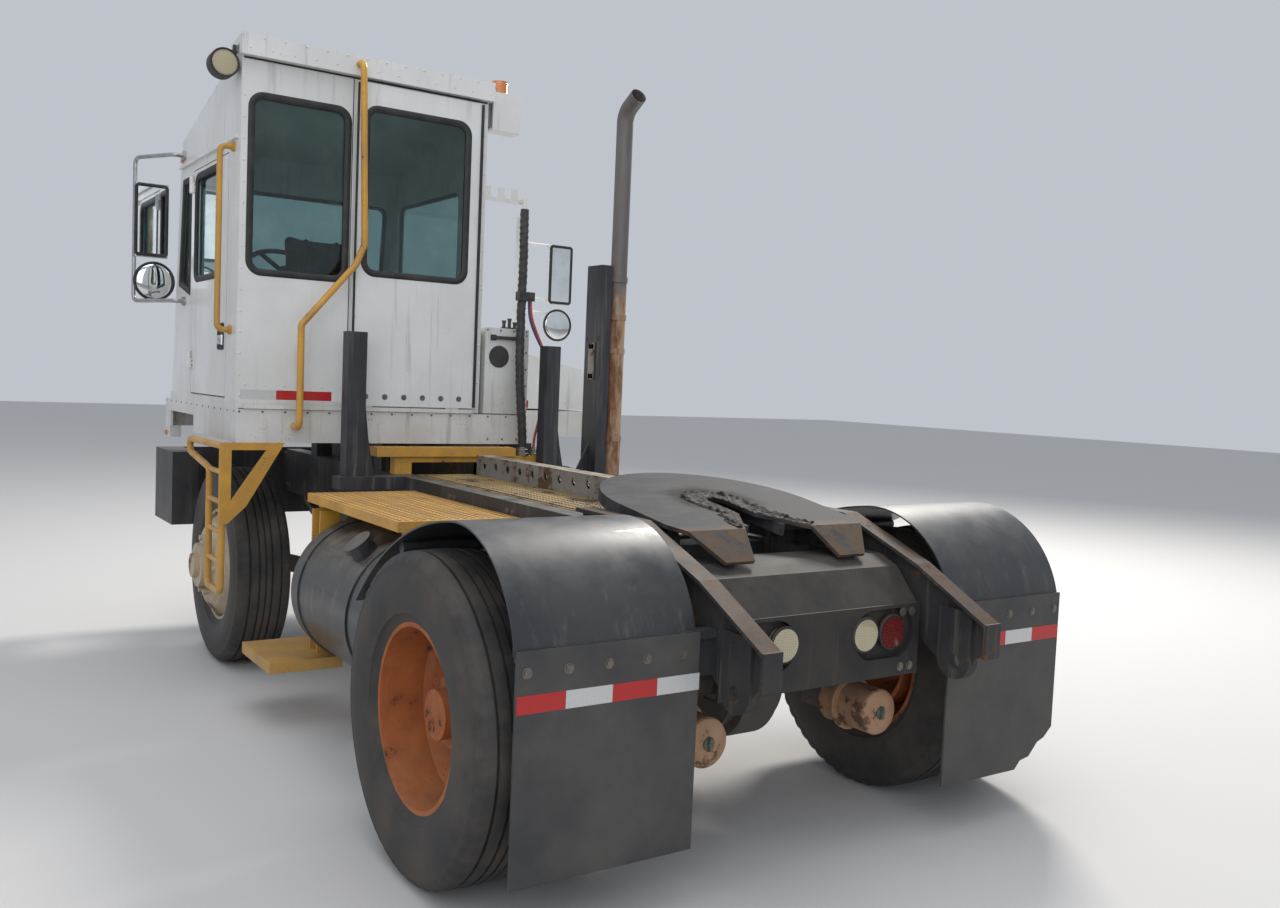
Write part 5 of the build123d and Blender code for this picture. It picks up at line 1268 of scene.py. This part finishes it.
def makeDoorFittings():
    # latch of the driver's door, its edge seals and the bolts along the foot of the sliding door
    left, face = cab["left"], cab["doorFace"]
    bm = bmesh.new()
    addBox(bm, 2468, 2572, left - 1, left + 2, 1630, 1757)
    addRing(bm, roundedRectangle(2470, 2570, 1632, 1755, 8), [(-4, 0), (-4, 5), (0, 6), (3, 3), (3, 0)],
            facingLeft(left))
    addBox(bm, 2431.5, 2437, left - 16, left - 2, 1406, 2552)
    addBox(bm, 2437, 3122, left - 16, left - 2, 1401.5, 1407)
    addPiece("door_latch_seat", bm, sealRubber, "left_door")
    bm = bmesh.new()
    addRing(bm, [(2484, 1652), (2556, 1652), (2556, 1702), (2484, 1702)],
            [(0, 2), (-3, 9), (-30, 12), (-30, 2)], facingLeft(left))
    addBox(bm, 2490, 2550, left + 3, left + 11, 1660, 1694)
    addTurned(bm, (2520, left, 1732), (0, 1, 0), [(12, 0), (12, 5), (9, 8)], 20)
    addPiece("door_latch", bm, ramChrome, "left_door")
    spots = studRows(((face, 60, 1432), (face, 560, 1432), 6, (-1, 0, 0)))
    addStuds("door_foot_bolts", spots, heads["footBolt"], boltTree, boltSteel, "back_door")


chamber = {"y": 385, "z": 425, "clampX": -248, "domeX": -388}


def makeChambers():
    # clamp bands, end domes and breather plugs of the spring brakes
    bands, plugs = bmesh.new(), bmesh.new()
    x, z, end = chamber["clampX"], chamber["z"], chamber["domeX"]
    for y in (-chamber["y"], chamber["y"]):
        addTurned(bands, (x, y, z), (-1, 0, 0), [(94, 0), (98, 3), (98, 13), (94, 16)], 40)
        addBox(bands, x - 18, x + 2, y - 14, y + 14, z + 88, z + 118)
        addTurned(bands, (x - 8, y - 24, z + 108), (0, 1, 0), [(7, 0), (7, 48)], 6)
        dome = [(81, 0), (79, 7), (66, 13), (40, 16), (24, 17), (22, 13)]
        addTurned(bands, (end, y, z), (-1, 0, 0), dome, 40)
        addTurned(plugs, (end - 12, y, z), (-1, 0, 0), [(19, 0), (19, 6), (9, 9), (9, 16), (5, 17)], 20)
        addBox(plugs, end - 32, end - 16, y - 5, y + 5, z - 20, z + 24)
    addPiece("chamber_bands", bands, chamberTan)
    addPiece("chamber_plugs", plugs, plugGreen)


def makePlate():
    # blank lamp plate on the exhaust post, with two slots above it drawn as black pads: painted shade in
    # place of the openings
    bm = bmesh.new()
    addRing(bm, roundedRectangle(1994, 2056, 1562, 1758, 6),
            [(-31, 0), (-31, 1.6), (-3, 1.6), (0, 0.6), (0, 0)], facingLeft(-621))
    addBox(bm, 2000, 2050, -621, -619.6, 1568, 1752)
    addPiece("lamp_plate", bm, channelGrey)
    bm = bmesh.new()
    # black pads in painted shade where the two slots are
    for x in (1972, 2078):
        addBox(bm, x - 7, x + 7, -627, -625.4, 1768, 1792)
    for z in (1740, 1580):
        addTurned(bm, (2025, -621, z), (0, 1, 0), [(5, 0), (5, 3)], 12)
    addPiece("post_slots", bm, sealRubber)


def makeHeaderStripAndSealant():
    # a black strip under the header lip, and black sealant along the joints of the rear wall
    back = cab["rear"]
    bm = bmesh.new()
    addBox(bm, back - 3, back + 1, -62, 1166, 2957, 2966)
    addBox(bm, back - 1.2, back + 1, 646, 650, 1402, 2957)
    addBox(bm, back - 18.5, back - 16, -330, 1165, 1357, 1361)
    addPiece("header_strip_and_sealant", bm, sealRubber)


lamps = {"beacon": (2295, -160, 0), "ribs": 9, "headY": 760, "headZ": 860, "work": (2256, 1245, 2925)}


def makeLampTrim():
    # ribs of the beacon, rims of the head lamps, and rim and lens of the work lamp
    bm = bmesh.new()
    profile = []
    for n in range(lamps["ribs"]):
        profile += [(44.6, 3033 + n * 6), (45.8, 3036 + n * 6)]
    profile += [(43, 3090), (34, 3095)]
    addTurned(bm, lamps["beacon"], (0, 0, 1), profile, 36)
    addPiece("beacon_ribs", bm, lensAmber)
    bm = bmesh.new()
    for y in (-lamps["headY"], lamps["headY"]):
        section = [(-9, 0), (-7, 6), (0, 8), (1.5, 4), (1.5, 0)]
        addRing(bm, circlePath(y, lamps["headZ"], 86, 40), section, facingFront(3938))
    addPiece("head_lamp_rims", bm, ramChrome)
    x, y, z = lamps["work"]
    bm = bmesh.new()
    section = [(-4, 0), (-2, 5), (3, 6), (5, 3), (5, -10), (3.5, -10), (3.5, 0)]
    addRing(bm, circlePath(y, z, 60, 36), section, facingBack(x - 1))
    addPiece("work_lamp_rim", bm, sealRubber)
    bm = bmesh.new()
    addTurned(bm, (x, y, z), (-1, 0, 0), [(57, 0), (56, 2), (40, 4), (20, 5), (6, 5.4)], 36)
    addPiece("work_lamp_lens", bm, lensClear)


# dials on the dash's sloped face: across and radius
gauges = {"x": 3203, "z": 1836, "lean": 0.19,
          "dials": ((640, 40), (740, 40), (820, 24), (880, 24), (560, 24))}


def makeGauges():
    faces, bezels = bmesh.new(), bmesh.new()
    lean = Vector((-1, 0, gauges["lean"])).normalized()
    for y, radius in gauges["dials"]:
        middle = Vector((gauges["x"], y, gauges["z"]))
        rim = [(radius + 5, 0), (radius + 4, 6), (radius, 7), (radius - 1, 3)]
        addTurned(bezels, middle, lean, rim, 28)
        addTurned(faces, middle + lean * 3.2, lean, [(radius - 2, 0), (radius - 3, 1)], 28)
    addPiece("gauge_bezels", bezels, ramChrome)
    addPiece("gauge_faces", faces, darkPlastic)


for make in (makeCowlFittings, makeTailGrommets, makeDoorFittings, makeChambers, makePlate, makeHeaderStripAndSealant,
             makeLampTrim, makeGauges):
    make()
print("fittings made")


# floor, light and camera; each light has place, size, power and tint
stage = {"floor": rgb(0.58, 0.57, 0.56), "sky": rgb(0.84, 0.89, 0.97), "skyStrength": 0.62, "lights": {
    "keyLight": ((3.5, -7.0, 8.0), 2.5, 1100, (1.0, 0.96, 0.90)),
    "fillLight": ((-8.0, 5.0, 4.5), 6.0, 190, (0.93, 0.96, 1.0)),
    "topLight": ((-1.5, 1.5, 9.0), 7.0, 260, (1.0, 1.0, 1.0))}}


def makeStage():
    bpy.ops.mesh.primitive_plane_add(size=80, location=(0, 0, 0))
    floor = bpy.context.object
    floor.name = "floor"
    material, g, shader = startMaterial("paleFloor")
    g.set(shader, Base_Color=stage["floor"], Roughness=0.9)
    floor.data.materials.append(material)
    world = bpy.data.worlds.new("paleRoom")
    bpy.context.scene.world = world
    world.use_nodes = True
    background = world.node_tree.nodes["Background"]
    background.inputs["Color"].default_value = stage["sky"]
    background.inputs["Strength"].default_value = stage["skyStrength"]
    for name, (place, size, power, tint) in stage["lights"].items():
        lamp = bpy.data.lights.new(name, "AREA")
        lamp.size = size
        lamp.energy = power
        lamp.color = tint
        holder = link(name, lamp)
        holder.location = place
        holder.rotation_euler = (Vector((0, 0, 1)) - Vector(place)).to_track_quat("-Z", "Y").to_euler()
    bpy.context.scene.view_settings.view_transform = "Standard"
    bpy.context.scene.view_settings.look = "None"


# camera solved from the photograph: turned right of forward, tipped down, rolled
view = {"place": (-4.7519, 2.5843, 1.5551), "turn": 34.352, "tip": -3.578, "roll": 2.452, "lens": 31.895}


def makeCamera():
    yaw, tip, roll = math.radians(-view["turn"]), math.radians(view["tip"]), math.radians(view["roll"])
    ahead = Vector((math.cos(tip) * math.cos(yaw), math.cos(tip) * math.sin(yaw), math.sin(tip)))
    level = Vector((math.sin(yaw), -math.cos(yaw), 0))
    above = level.cross(ahead)
    right = math.cos(roll) * level + math.sin(roll) * above
    up = -math.sin(roll) * level + math.cos(roll) * above
    data = bpy.data.cameras.new("photoCamera")
    data.lens = view["lens"]
    data.sensor_width = 36
    data.sensor_fit = "HORIZONTAL"
    data.clip_end = 200
    camera = link("photoCamera", data)
    camera.matrix_world = Matrix((
        (right.x, up.x, -ahead.x, view["place"][0]),
        (right.y, up.y, -ahead.y, view["place"][1]),
        (right.z, up.z, -ahead.z, view["place"][2]),
        (0, 0, 0, 1)))
    bpy.context.scene.camera = camera


makeStage()
makeCamera()
print("stage made")

for graph in Graph.made:
    graph.arrange()
bpy.context.view_layer.update()
